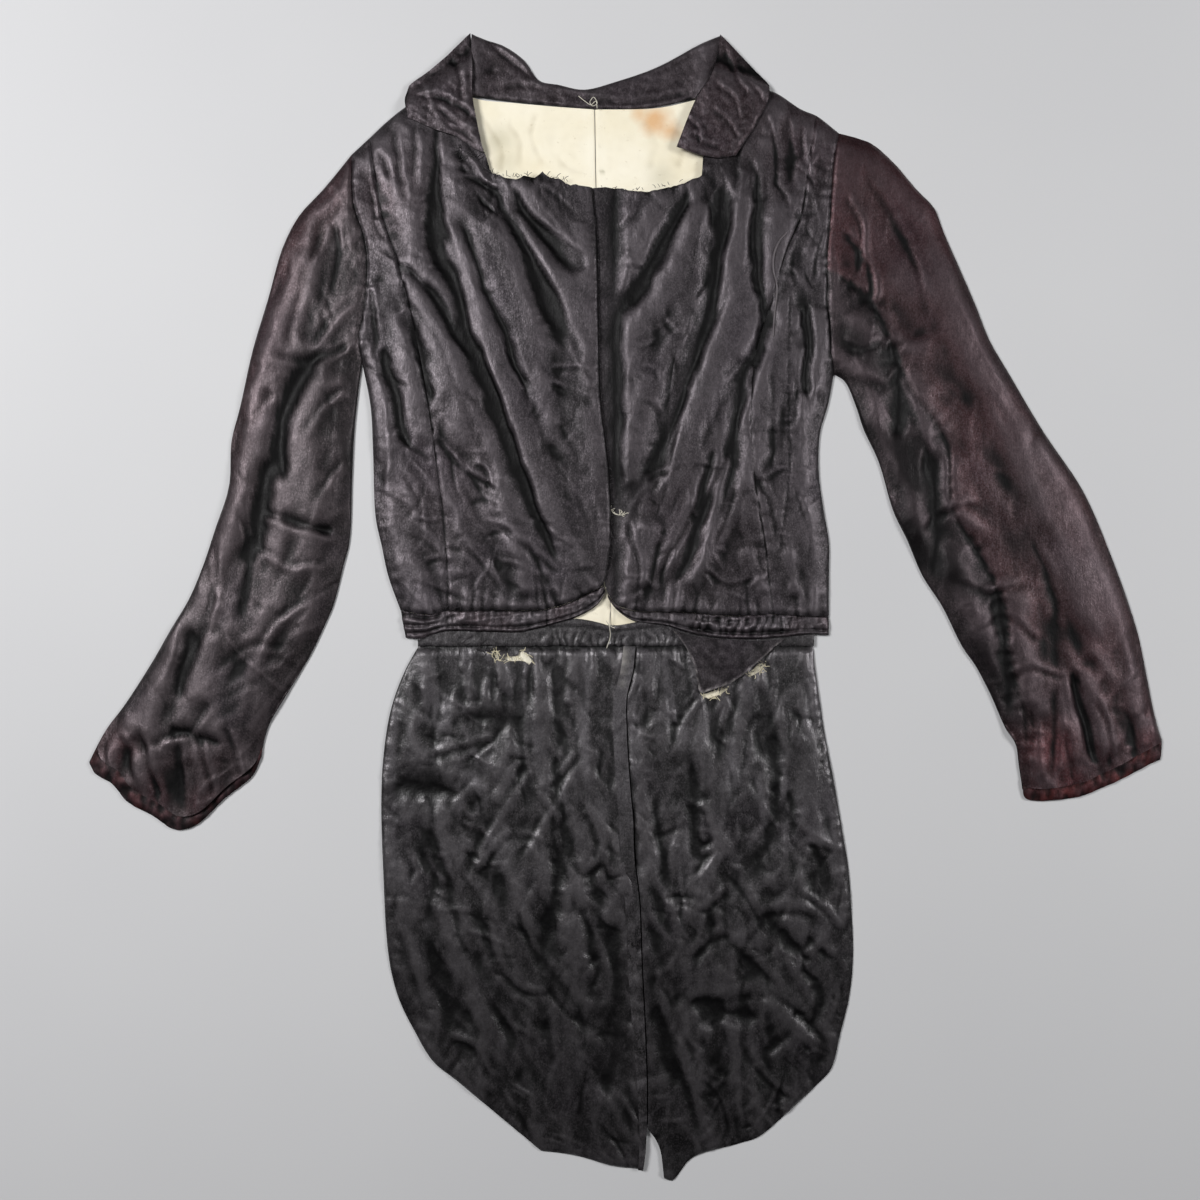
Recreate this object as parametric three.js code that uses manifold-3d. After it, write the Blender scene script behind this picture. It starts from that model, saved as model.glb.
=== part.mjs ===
// A lady's basque bodice of black silk satin, laid face up. Millimetres: +X is the wearer's left, +Y runs
// to the collar and +Z is up. The surface that it lies on is z = 0.
import * as THREE from 'three';
import { mergeVertices } from 'three/addons/utils/BufferGeometryUtils.js';
import Module from 'manifold-3d';

const wasm = await Module();
wasm.setup();

// ---- Driving dimensions -------------------------------------------------------------------------------
const SEAM_GAP = 0.3; // between two pieces at a seam
const ARMHOLE_GAP = 1.2; // between a sleeve head and its armhole
const LAYER_GAP = 0.3; // between cloths that lie on each other
const BACK_CLOTH = 1.2; // back panels and under sleeves
const LINING_CLOTH = 1.2; // cotton lining of the back
const FRONT_CLOTH = 2.2; // satin on its lining, fronts and upper sleeves
const TAIL_CLOTH = 1.6;
const COLLAR_CLOTH = 2.4;
const FLAP_CLOTH = 1.6;
const FACING_CLOTH = 0.9;
const INTERLINING_CLOTH = 1.0;
const HEM_CLOTH = 2.2;
const BAND_CLOTH = 4.0; // collar stand with its fall folded behind it
const LOFT = 4.6; // how far the upper layer stands over the surface between folds
const TAIL_LOFT = 1.8;
const EDGE_RADIUS = 12; // width over which the upper layer rounds down to the surface
const TAIL_EDGE_RADIUS = 7;
const BACK_INSET = 3; // the back panels end this far inside the outline
const LINING_INSET = 8;
const LINING_SEAM = 5; // the lining's turned edge at the armholes
const LINING_TOP = BACK_CLOTH + LAYER_GAP + LINING_CLOTH;
const WAISTBAND_TOP = 3.4;
const HEM_UNDER = WAISTBAND_TOP + LAYER_GAP + 0.3;
const COLLAR_UNDER = LOFT + FRONT_CLOTH + 0.6; // the falls lie on the shoulders
const COLLAR_DROOP = 5; // past the shoulder line they sink by this much
const FLAP_UNDER = 3.9;
const BACK_WAIST = -14; // y of the back panels' lower edge
const WAISTBAND_LOW = -29.4;
const CENTRE_OPENING = -12; // x where the waistband is open
const TAIL_LINING_LOW = -80; // the interlining strip of each tail ends here
const TAIL_GAP = 1.0; // the two tails hang free of each other along the centre
const HEM_STEP = 0.7; // the hem bands begin this far below the fronts
const CUFF_STRIP = 0.975; // the upper sleeve ends at this share of its length, and the facing shows below it

const COLOURS = {
  satin: 0x1d181a,
  sleeve_satin: 0x241a1d,
  lining_cotton: 0xd8ceb0,
  faded_satin: 0x54262a,
};

// ---- Outlines and seams, each row x, y, from the collar down or from the wearer's right to left ------
const SHOULDER_RIGHT = [[-137, 416], [-155, 410], [-173, 402], [-190, 389], [-205, 375], [-219, 362]];
const ARMHOLE_RIGHT = [
  [-219, 362], [-217, 323], [-208, 293], [-206, 266], [-209, 238], [-213, 214], [-211, 197],
];
const SIDE_RIGHT = [[-211, 197], [-204, 161], [-202, 124], [-200, 73], [-195, 49], [-190, 26], [-180, -2]];
const PRINCESS_RIGHT = [
  [-205, 375], [-202, 356], [-194, 313], [-183, 280], [-174, 246], [-163, 195], [-155, 150], [-149, 102],
  [-144, 54], [-141, -2],
];
const NECK_RIGHT = [[-137, 416], [-123, 389], [-111, 358]];
const NECKLINE_RIGHT = [[-111, 358], [-106, 346], [-91, 341], [-65, 344], [-45, 337], [-27, 334]];
const CENTRE_RIGHT = [
  [-27, 334], [-23, 293], [-22, 242], [-20, 165], [-16, 132], [-13, 103], [-12, 62], [-14, 38], [-18, 18],
];
const HEM_SIDE_RIGHT = [[-180, -2], [-178, -14], [-176, -24]];
const HEMLINE_RIGHT = [[-180, -2], [-158, -5], [-141, -2], [-98, -2], [-65, -1], [-41, 6], [-18, 18]];
const HEM_RIGHT = [
  [-176, -24], [-163, -24], [-146, -19], [-83, -19], [-58, -13], [-36, -6], [-22, 3], [-16, 13],
];
const SLEEVE_OUT_RIGHT = [
  [-219, 362], [-241, 335], [-261, 313], [-274, 288], [-286, 246], [-298, 206], [-308, 161], [-315, 133],
  [-317, 97], [-328, 63], [-338, 33], [-349, 7], [-364, -18], [-377, -41], [-400, -77], [-415, -97],
  [-429, -123],
];
const SLEEVE_IN_RIGHT = [
  [-211, 197], [-217, 144], [-219, 103], [-221, 54], [-226, 33], [-234, 2], [-240, -12], [-253, -39],
  [-269, -64], [-281, -83], [-289, -105], [-291, -119],
];
const CUFF_RIGHT = [
  [-429, -123], [-424, -132], [-410, -141], [-398, -155], [-378, -166], [-360, -177], [-344, -174],
  [-320, -152], [-298, -134], [-291, -119],
];
const SHOULDER_LEFT = [[87, 414], [103, 415], [118, 412], [140, 398], [152, 393], [170, 379]];
const ARMHOLE_LEFT = [[170, 379], [165, 354], [162, 313], [160, 266], [162, 214], [166, 187]];
const SIDE_LEFT = [
  [166, 187], [161, 161], [155, 140], [154, 108], [158, 77], [162, 53], [162, 26], [162, -7],
];
const PRINCESS_LEFT = [
  [152, 393], [146, 356], [140, 313], [128, 284], [115, 242], [103, 201], [99, 158], [101, 118], [106, 78],
  [112, 38], [117, -5],
];
const NECK_LEFT = [[61, 358], [74, 386], [87, 414]];
const NECKLINE_LEFT = [[-34, 334], [-14, 335], [14, 331], [50, 339], [62, 346], [61, 358]];
const CENTRE_LEFT = [
  [-34, 334], [-30, 293], [-29, 242], [-26, 165], [-22, 132], [-20, 103], [-18, 79], [-16, 62], [-13, 42],
  [-10, 22], [-6, 9],
];
const HEM_SIDE_LEFT = [[162, -7], [162, -14], [162, -22]];
const HEMLINE_LEFT = [[-6, 9], [6, -2], [42, -3], [82, -6], [117, -5], [162, -7]];
const HEM_LEFT = [[-4, 2], [5, -10], [31, -14], [54, -21], [98, -25], [150, -21], [162, -22]];
const SLEEVE_OUT_LEFT = [
  [170, 379], [185, 375], [197, 370], [215, 354], [231, 335], [246, 319], [254, 299], [265, 274], [279, 242],
  [290, 214], [304, 190], [333, 141], [361, 100], [372, 79], [386, 45], [399, 10], [409, -22], [416, -56],
  [422, -86], [428, -109], [427, -121],
];
const SLEEVE_IN_LEFT = [
  [166, 187], [175, 181], [184, 161], [190, 143], [202, 117], [214, 77], [225, 54], [237, 26], [253, 1],
  [269, -31], [280, -47], [292, -70], [303, -93], [311, -104], [314, -122], [317, -142],
];
const CUFF_LEFT = [[317, -142], [319, -152], [361, -151], [377, -145], [399, -135], [420, -124], [427, -121]];
const COLLAR_SEAM = [[-121, 408], [-89, 404], [-57, 401], [-22, 398], [25, 400], [53, 406]];
const COLLAR_TOP = [
  [-121, 457], [-110, 453], [-98, 449], [-82, 438], [-69, 421], [-54, 418], [-34, 414], [-6, 421], [25, 432],
  [59, 450], [73, 456],
];
const COLLAR_END_RIGHT = [[-121, 457], [-121, 430], [-121, 408]];
const COLLAR_END_LEFT = [[73, 456], [67, 427], [53, 406]];
const FALL_TOP_RIGHT = [[-173, 416], [-149, 434], [-124, 458]];
const FALL_OUT_RIGHT = [[-173, 416], [-176, 405], [-173, 389]];
const FALL_LOW_RIGHT = [[-173, 389], [-150, 379], [-135, 374], [-120, 364], [-113, 361]];
const FALL_FOLD_RIGHT = [[-124, 458], [-122, 430], [-122, 408], [-118, 384], [-113, 361]];
const FALL_TOP_LEFT = [[75, 457], [93, 438], [114, 416]];
const FALL_OUT_LEFT = [[114, 416], [113, 405], [103, 384], [87, 359]];
const FALL_LOW_LEFT = [[40, 366], [56, 360], [73, 357], [87, 359]];
const FALL_FOLD_LEFT = [[75, 457], [69, 426], [55, 403], [40, 366]];
const CENTRE_BACK = [[-25, 398], [-24, 339], [-18, 160], [-12, BACK_WAIST]];
const BACK_NECK_RIGHT = [[-137, 416], [-121, 407], [-89, 403], [-57, 400], [-25, 397.5]];
const BACK_NECK_LEFT = [[-25, 397.5], [25, 399], [53, 405], [87, 414]];
const TAIL_TOP_RIGHT = [[-166, -30], [-90, -30], [8, -30]];
const TAIL_OUT_RIGHT = [
  [-166, -30], [-177, -50], [-188, -80], [-194, -116], [-196, -154], [-194, -220], [-192, -260], [-188, -291],
  [-181, -315], [-170, -337], [-154, -363], [-134, -379], [-102, -406], [-68, -434],
];
const TAIL_LOW_RIGHT = [[-68, -434], [-40, -438], [-11, -446], [14, -449]];
const TAIL_CENTRE = [
  [8, -30], [6, -50], [1, -71], [1, -99], [4, -146], [6, -168], [7, -198], [11, -234], [13, -286], [15, -326],
  [17, -379], [17, -415],
];
const TAIL_END_RIGHT = [[17, -415], [16, -433], [14, -449]];
const TAIL_END_LEFT = [[17, -415], [26, -430], [30, -456]];
const TAIL_TOP_LEFT = [[8, -30], [80, -30], [150, -30]];
const TAIL_OUT_LEFT = [
  [150, -30], [151, -44], [155, -72], [159, -99], [167, -141], [174, -182], [178, -206], [181, -246],
  [182, -278], [179, -310], [172, -339], [164, -369], [154, -380], [134, -399],
];
const TAIL_LOW_LEFT = [[30, -456], [37, -458], [53, -440], [92, -428], [106, -423], [134, -399]];
const FLAP_TOP = [[37, -17.4], [54, -22], [98, -26], [126, -24.6]];
const FLAP_LEFT = [[37, -17.4], [52, -42], [58, -67]];
const FLAP_TIP = [[58, -67], [62, -67.5], [66, -66]];
const FLAP_RIGHT = [[126, -24.6], [107, -42], [87, -58], [66, -66]];

// ---- Rips, each an outline of x, y that is cut through the tail's satin ------------------------------
const RIPS_RIGHT = [
  [[-107, -34], [-102, -35], [-102, -40], [-106, -39.5]],
  [
    [-99, -38], [-93, -38.5], [-86, -38], [-85, -34], [-82, -34.5], [-79, -36], [-77, -39], [-74.5, -42],
    [-77.5, -45.5], [-80, -43], [-84, -42], [-91, -42.5], [-97, -41],
  ],
];
const RIPS_LEFT = [
  [[60, -69.5], [69, -66.5], [79, -63], [82, -64], [75, -69], [66, -72.5]],
  [[97, -52.5], [103, -47.5], [109, -43], [112, -44.5], [106, -51], [99, -55]],
];

// ---- Folds, a row each: width, rise (below 0 for a trough) and its path of x, y ----------------------
const FOLDS_RIGHT = [
  [8, -4.5, [[-149, 376], [-151, 286], [-138, 262], [-110, 173], [-67, 62], [-49, 22]]],
  [8, 3.2, [[-134, 310], [-118, 240], [-97, 180], [-68, 100], [-50, 40]]],
  [6, -3.4, [[-134, 313], [-94, 210], [-75, 158]]],
  [7, -4, [[-110, 339], [-83, 293], [-57, 235], [-41, 207]]],
  [8, 3, [[-112, 320], [-86, 255], [-66, 190], [-58, 120]]],
  [7, -4.2, [[-91, 338], [-77, 309], [-45, 276], [-26, 270]]],
  [6, -3.4, [[-179, 280], [-146, 235], [-120, 194]]],
  [6, -3, [[-195, 210], [-179, 149], [-171, 124]]],
  [5, -3, [[-171, 226], [-153, 161]]],
  [9, 2.6, [[-36, 330], [-30, 240], [-28, 165], [-22, 110], [-22, 70]]],
  [8, -2, [[-57, 175], [-22, 165]]],
  [8, 3, [[-91, 62], [-77, 8]]],
  [10, 3, [[-36, 60], [-30, 30]]],
  [8, 2.4, [[-170, 300], [-164, 250], [-140, 190], [-128, 120]]],
];
const FOLDS_LEFT = [
  [7, -4, [[-14, 240], [-10, 165], [-12, 110], [-4, 78]]],
  [7, -4.4, [[50, 335], [30, 290], [6, 250], [-13, 231]]],
  [8, 3, [[62, 325], [42, 270], [16, 226]]],
  [8, -4.4, [[78, 352], [74, 293], [65, 231], [47, 186], [29, 128], [2, 90]]],
  [8, 3, [[92, 345], [88, 290], [77, 220], [52, 150]]],
  [7, -4, [[106, 360], [103, 282], [110, 216], [96, 195], [82, 103], [70, 62]]],
  [6, -3, [[70, 132], [54, 53], [37, 16]]],
  [8, 3.4, [[20, 72], [14, 12]]],
  [5, -2.5, [[146, 242], [142, 165]]],
  [6, -2, [[86, 81], [109, 106]]],
  [6, 2.4, [[94, 50], [110, 10]]],
  [6, 2.4, [[130, 50], [136, 8]]],
  [8, 2.4, [[124, 330], [118, 270], [90, 180], [94, 120]]],
];
const SLEEVE_FOLDS = [
  [7, -3.6, [[-239, 206], [-259, 183], [-272, 155], [-277, 125], [-267, 94]]],
  [9, -3.6, [[-285, 122], [-293, 63], [-302, 33]]],
  [7, -3, [[-282, 174], [-298, 146]]],
  [12, 3, [[-250, 290], [-272, 230], [-290, 190]]],
  [5, -2.5, [[-277, 74], [-231, 61]]],
  [7, -3.2, [[-343, -13], [-351, -38], [-358, -74]]],
  [8, 3, [[-354, -20], [-366, -59], [-377, -87], [-382, -110]]],
  [6, -3.2, [[-387, -100], [-405, -138]]],
  [5, -2.4, [[-364, -94], [-318, -110]]],
  [10, 2.6, [[-250, 150], [-250, 80], [-262, 10]]],
  [9, -3.6, [[209, 214], [218, 180], [213, 132]]],
  [10, 3.2, [[182, 240], [192, 200], [186, 176]]],
  [8, -3, [[241, 132], [246, 74], [243, 19]]],
  [7, -3, [[294, 17], [300, -29], [306, -91]]],
  [5, -3, [[354, -47], [363, -82], [375, -125]]],
  [5, -2.6, [[403, -84], [401, -112]]],
  [14, 2.6, [[240, 300], [300, 150], [350, 40], [390, -60]]],
  [5, -2, [[317, 127], [336, 153]]],
];
const TAIL_FOLDS_RIGHT = [
  [9, -2.6, [[-186, -138], [-133, -146]]],
  [10, 2.4, [[-182, -158], [-140, -170]]],
  [14, -2.4, [[-12, -246], [-8, -330], [-18, -400]]],
  [10, 2.4, [[-44, -240], [-40, -330]]],
  [9, 2.4, [[-90, -92], [-100, -160], [-80, -260]]],
  [8, -2.2, [[-60, -96], [-50, -180], [-70, -300]]],
  [9, 2.4, [[-150, -220], [-126, -300], [-84, -380]]],
];
const TAIL_FOLDS_LEFT = [
  [7, 2.4, [[13, -90], [16, -160], [20, -230]]],
  [6, -2.2, [[49, -154], [61, -206]]],
  [8, -2.6, [[106, -240], [125, -262], [148, -283]]],
  [8, -2.6, [[47, -313], [106, -329]]],
  [7, 2.4, [[108, -307], [158, -357]]],
  [6, -2.2, [[24, -313], [40, -387]]],
  [8, 2.4, [[62, -329], [58, -392]]],
  [9, 2.4, [[60, -100], [74, -160], [56, -260]]],
  [9, -2.2, [[110, -92], [122, -150], [100, -226]]],
  [8, 2.4, [[142, -92], [152, -200]]],
];
const WAIST_GATHERS = { pitch: 6.5, rise: 0.5, from: -64, to: 36 };
const HEM_RUFFLES = { pitch: 7, rise: 0.8, from: 54, to: 130 };

// ---- Curves and heights ------------------------------------------------------------------------------
const SAMPLES = 60;

function smoothCurve(rows) {
  const points = rows.map(([x, y]) => new THREE.Vector3(x, y, 0));
  const curve = new THREE.CatmullRomCurve3(points, false, 'centripetal');
  curve.arcLengthDivisions = 400;
  return curve;
}

function edge(rows) {
  const curve = smoothCurve(rows);
  return (t) => curve.getPointAt(t);
}

// Several curves as one edge, with a corner where two of them meet.
function joined(...tables) {
  const curves = tables.map(smoothCurve);
  const lengths = curves.map((curve) => curve.getLength());
  const whole = lengths.reduce((sum, length) => sum + length, 0);
  return (t) => {
    let left = t * whole;
    let k = 0;
    while (k + 1 < curves.length && left > lengths[k]) {
      left -= lengths[k];
      k += 1;
    }
    return curves[k].getPointAt(Math.min(1, left / lengths[k]));
  };
}

function sampled(rows, count = SAMPLES) {
  const at = edge(rows);
  return Array.from({ length: count + 1 }, (_, k) => at(k / count));
}

function nearest(points, x, y) {
  let best = Infinity;
  let along = 0;
  for (let k = 0; k + 1 < points.length; k += 1) {
    const a = points[k];
    const b = points[k + 1];
    const dx = b.x - a.x;
    const dy = b.y - a.y;
    const part = THREE.MathUtils.clamp(((x - a.x) * dx + (y - a.y) * dy) / (dx * dx + dy * dy), 0, 1);
    const away = Math.hypot(x - a.x - part * dx, y - a.y - part * dy);
    if (away < best) {
      best = away;
      along = (k + part) / (points.length - 1);
    }
  }
  return { away: best, along };
}

const smooth = THREE.MathUtils.smoothstep;
const FOLD_FADE = 0.16; // share of a fold's length over which it dies away at each end

function foldField(rows) {
  const folds = rows.map(([width, rise, path]) => ({ width, rise, points: sampled(path, 14) }));
  return (x, y) => folds.reduce((sum, { width, rise, points }) => {
    const { away, along } = nearest(points, x, y);
    const fade = smooth(along, 0, FOLD_FADE) * smooth(1 - along, 0, FOLD_FADE);
    return sum + rise * fade * Math.exp(-((away / width) ** 2));
  }, 0);
}

// A quarter of an ellipse: 0 on the outline and 1 at the given radius inside it.
function roundUp(away, radius) {
  return Math.sqrt(1 - (1 - Math.min(away / radius, 1)) ** 2);
}

function outlineRise(outlines, radius) {
  const lines = outlines.map((rows) => sampled(rows));
  return (x, y) => roundUp(Math.min(...lines.map((points) => nearest(points, x, y).away)), radius);
}

const riseRight = outlineRise(
  [SHOULDER_RIGHT, SIDE_RIGHT, HEM_SIDE_RIGHT, SLEEVE_OUT_RIGHT, SLEEVE_IN_RIGHT], EDGE_RADIUS);
const riseLeft = outlineRise(
  [SHOULDER_LEFT, SIDE_LEFT, HEM_SIDE_LEFT, SLEEVE_OUT_LEFT, SLEEVE_IN_LEFT], EDGE_RADIUS);
const COLLAR_SHADE = { from: 330, to: 345 }; // ridges of the fronts end below the collar, between these y

function upperLayer(rise, rows, least) {
  const folds = foldField(rows);
  return (x, y) => {
    const up = rise(x, y);
    const fold = folds(x, y);
    const kept = fold > 0 ? fold * (1 - smooth(y, COLLAR_SHADE.from, COLLAR_SHADE.to)) : fold;
    return Math.max(Math.min(least, 1.35 * least * up), (LOFT + kept) * up);
  };
}

const BODY_LEAST = LINING_TOP + LAYER_GAP;
const SLEEVE_LEAST = BACK_CLOTH + LAYER_GAP + 0.1;
const frontUnderRight = upperLayer(riseRight, FOLDS_RIGHT, BODY_LEAST);
const frontUnderLeft = upperLayer(riseLeft, FOLDS_LEFT, BODY_LEAST);
const sleeveUnderRight = upperLayer(riseRight, SLEEVE_FOLDS, SLEEVE_LEAST);
const sleeveUnderLeft = upperLayer(riseLeft, SLEEVE_FOLDS, SLEEVE_LEAST);

// The wearer's right front laps over the left one along the centre.
const LAP = { from: -50, to: -10, ease: 12, foot: 8, full: 30, under: BODY_LEAST + FRONT_CLOTH + 0.5 };

function lappedFront(x, y) {
  const near = smooth(x, LAP.from, LAP.from + LAP.ease) * smooth(y, LAP.foot, LAP.full);
  return Math.max(frontUnderRight(x, y), near * LAP.under);
}

function tuckedFront(x, y) {
  const tucked = 1 - smooth(x, LAP.to, LAP.to + LAP.ease);
  return THREE.MathUtils.lerp(frontUnderLeft(x, y), BODY_LEAST, tucked);
}

function tailLayer(outRows, lowRows, rows) {
  const rise = outlineRise([outRows, lowRows], TAIL_EDGE_RADIUS);
  const folds = foldField(rows);
  const least = INTERLINING_CLOTH + LAYER_GAP;
  return (x, y) => {
    const up = rise(x, y);
    const lined = smooth(y, TAIL_LINING_LOW - 14, TAIL_LINING_LOW - 4);
    const floor = THREE.MathUtils.lerp(0, least, lined) * Math.min(1, 1.4 * up);
    return Math.max(floor, (TAIL_LOFT + (1 - lined) * folds(x, y)) * up);
  };
}

const tailUnderRight = tailLayer(TAIL_OUT_RIGHT, TAIL_LOW_RIGHT, TAIL_FOLDS_RIGHT);
const tailUnderLeft = tailLayer(TAIL_OUT_LEFT, TAIL_LOW_LEFT, TAIL_FOLDS_LEFT);

// ---- Solids ------------------------------------------------------------------------------------------
// A surface between four edges: top and bottom run in +X, left and right run down from the collar.
function between(top, bottom, left, right) {
  const corners = [top(0), top(1), bottom(0), bottom(1)];
  return (u, v) => {
    const point = top(u).multiplyScalar(1 - v).addScaledVector(bottom(u), v);
    point.addScaledVector(left(v), 1 - u).addScaledVector(right(v), u);
    point.addScaledVector(corners[0], -(1 - u) * (1 - v)).addScaledVector(corners[1], -u * (1 - v));
    return point.addScaledVector(corners[2], -(1 - u) * v).addScaledVector(corners[3], -u * v);
  };
}

// The rim of a grid of the given width and height, once round against the clock.
function rimOf(width, height) {
  const at = (i, j) => j * width + i;
  const across = Array.from({ length: width }, (_, i) => i);
  const down = Array.from({ length: height }, (_, j) => j);
  return [
    ...down.map((j) => at(0, j)),
    ...across.slice(1).map((i) => at(i, height - 1)),
    ...down.slice(1).map((j) => at(width - 1, height - 1 - j)),
    ...across.slice(1, -1).map((i) => at(width - 1 - i, 0)),
  ];
}

// Moves the rim points square to the rim, so that the neighbours clear it at the seams.
const SHARPEST = 0.5;
function drawIn(points, rim, amount) {
  const inward = (from, to) => new THREE.Vector3(from.y - to.y, to.x - from.x, 0).normalize();
  const shifts = rim.map((index, k) => {
    const before = inward(points[rim.at(k - 1)], points[index]);
    const after = inward(points[index], points[rim[(k + 1) % rim.length]]);
    const share = amount / Math.max(SHARPEST, 1 + before.dot(after));
    return before.add(after).multiplyScalar(share);
  });
  rim.forEach((index, k) => points[index].add(shifts[k]));
}

// A closed cloth wall over a patch: its underside follows `under`, and its outer side lies a wall above.
function clothWall(patch, us, vs, under, wall, gap = SEAM_GAP) {
  const thickness = typeof wall === 'function' ? wall : () => wall;
  const flat = vs.flatMap((v) => us.map((u) => patch(u, v)));
  const rim = rimOf(us.length, vs.length);
  drawIn(flat, rim, gap / 2);
  const low = flat.map(({ x, y }) => [x, y, under(x, y)]);
  const high = flat.map(({ x, y }) => [x, y, under(x, y) + thickness(x, y)]);
  const width = us.length;
  const count = flat.length;
  const at = (i, j) => j * width + i;
  const faces = [];
  for (let j = 0; j + 1 < vs.length; j += 1) {
    for (let i = 0; i + 1 < width; i += 1) {
      const [a, b, c, d] = [at(i, j), at(i, j + 1), at(i + 1, j + 1), at(i + 1, j)];
      faces.push([a + count, b + count, c + count], [a + count, c + count, d + count]);
      faces.push([a, c, b], [a, d, c]);
    }
  }
  for (let k = 0; k < rim.length; k += 1) {
    const [p, q] = [rim[k], rim[(k + 1) % rim.length]];
    faces.push([p, q, q + count], [p, q + count, p + count]);
  }
  const geometry = new THREE.BufferGeometry();
  geometry.setAttribute('position', new THREE.Float32BufferAttribute([...low, ...high].flat(), 3));
  geometry.setIndex(faces.flat());
  return geometry;
}

// A flat cloth of even thickness from an outline of points.
function flatCloth(points, low, thickness) {
  const shape = new THREE.Shape(points.map(({ x, y }) => new THREE.Vector2(x, y)));
  const geometry = new THREE.ExtrudeGeometry(shape, { depth: thickness, bevelEnabled: false });
  return geometry.translate(0, 0, low);
}

// The plane region inside a closed run of curves, and the flat cloth that fills a region.
function region(...tables) {
  const ring = tables.flatMap((rows) => sampled(rows, 2 * rows.length));
  return new wasm.CrossSection([ring.map(({ x, y }) => [x, y])], 'NonZero');
}

function cloth(shape, low, thickness) {
  const [ring] = shape.simplify(0.25).toPolygons();
  return flatCloth(ring.map(([x, y]) => ({ x, y })), low, thickness);
}

function even(count, from = 0, to = 1) {
  return Array.from({ length: count + 1 }, (_, k) => from + ((to - from) * k) / count);
}

function finish(geometry) {
  const plain = geometry.clone();
  plain.deleteAttribute('normal');
  plain.deleteAttribute('uv');
  return mergeVertices(plain, 1e-4);
}

function solidOf(geometry) {
  const plain = finish(geometry);
  const vertProperties = plain.getAttribute('position').array;
  return new wasm.Manifold(new wasm.Mesh({ numProp: 3, vertProperties, triVerts: plain.getIndex().array }));
}

function cutThrough(geometry, outlines) {
  const holes = outlines.map((rows) => solidOf(flatCloth(rows.map(([x, y]) => ({ x, y })), -5, 30)));
  const mesh = holes.reduce((body, hole) => body.subtract(hole), solidOf(geometry)).getMesh();
  const cut = new THREE.BufferGeometry();
  cut.setAttribute('position', new THREE.Float32BufferAttribute(mesh.vertProperties, 3));
  cut.setIndex(new THREE.BufferAttribute(mesh.triVerts, 1));
  return cut;
}

const group = new THREE.Group();

function addPiece(name, geometry, colour, roughness = 0.38) {
  const material = new THREE.MeshStandardMaterial({ color: COLOURS[colour], roughness, metalness: 0 });
  const mesh = new THREE.Mesh(finish(geometry), material);
  mesh.name = name;
  group.add(mesh);
}

// ---- Bodice ------------------------------------------------------------------------------------------
const TIGHT = 0.006; // first row inside a shoulder edge, as a share of the panel's length
const BODY_ROWS = [0, TIGHT, 0.022, ...even(16, 0.06, 1)];

function addFronts() {
  const frontColumns = even(20);
  const right = between(
    joined([[-205, 375], [-190, 389], [-173, 402], [-155, 410], [-137, 416]], NECK_RIGHT, NECKLINE_RIGHT),
    edge(HEMLINE_RIGHT.slice(2)), edge(PRINCESS_RIGHT), edge(CENTRE_RIGHT));
  addPiece('front_right', clothWall(right, frontColumns, BODY_ROWS, lappedFront, FRONT_CLOTH), 'satin');
  const left = between(
    joined(NECKLINE_LEFT, NECK_LEFT, [[87, 414], [103, 415], [118, 412], [140, 398], [152, 393]]),
    edge(HEMLINE_LEFT.slice(0, -1)), edge(CENTRE_LEFT), edge(PRINCESS_LEFT));
  addPiece('front_left', clothWall(left, frontColumns, BODY_ROWS, tuckedFront, FRONT_CLOTH), 'satin');
}

function addSideFronts() {
  const right = between(
    edge([[-219, 362], [-205, 375]]), edge(HEMLINE_RIGHT.slice(0, 3)),
    joined(ARMHOLE_RIGHT, SIDE_RIGHT), edge(PRINCESS_RIGHT));
  const outerFirst = [0, 0.07, 0.22, ...even(4, 0.4, 1)];
  const sideRight = clothWall(right, outerFirst, BODY_ROWS, frontUnderRight, FRONT_CLOTH);
  addPiece('side_front_right', sideRight, 'satin');
  const left = between(
    edge([[152, 393], [170, 379]]), edge(HEMLINE_LEFT.slice(-2)),
    edge(PRINCESS_LEFT), joined(ARMHOLE_LEFT, SIDE_LEFT));
  const outerLast = outerFirst.map((u) => 1 - u).reverse();
  const sideLeft = clothWall(left, outerLast, BODY_ROWS, frontUnderLeft, FRONT_CLOTH);
  addPiece('side_front_left', sideLeft, 'satin');
}

const reversed = (rows) => [...rows].reverse();

// Where the garment touches the surface: each half of the back, each sleeve, and the four together.
const backRight = region(
  BACK_NECK_RIGHT, CENTRE_BACK, reversed([...SIDE_RIGHT, HEM_SIDE_RIGHT[1]]), reversed(ARMHOLE_RIGHT),
  reversed(SHOULDER_RIGHT));
const backLeft = region(
  SHOULDER_LEFT, ARMHOLE_LEFT, [...SIDE_LEFT, HEM_SIDE_LEFT[1]], reversed(CENTRE_BACK), BACK_NECK_LEFT);
const sleeveRight = region(SLEEVE_OUT_RIGHT, CUFF_RIGHT, reversed(SLEEVE_IN_RIGHT), reversed(ARMHOLE_RIGHT));
const sleeveLeft = region(SLEEVE_IN_LEFT, CUFF_LEFT, reversed(SLEEVE_OUT_LEFT), ARMHOLE_LEFT);
const NECK_ROOM = 40; // the collar and the waistband carry the outline on past the back
const BELOW_WAIST = BACK_WAIST - NECK_ROOM;
const beyondNeck = region([[-137, 416], [87, 414]], [[87, 414 + NECK_ROOM], [-137, 416 + NECK_ROOM]]);
const neckPlain = region([[-137, 416], [87, 414]], [[53, 390], [-121, 390]]);
const beyondWaist = region([[-178, 0], [162, 0]], [[162, BELOW_WAIST], [-178, BELOW_WAIST]]);
const grown = (part) => part.offset(0.2, 'Miter');
const together = (...regions) => regions.map(grown).reduce((all, part) => all.add(part));
const body = together(backRight, backLeft, beyondNeck, neckPlain, beyondWaist);
const underside = together(body, sleeveRight, sleeveLeft);
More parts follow.
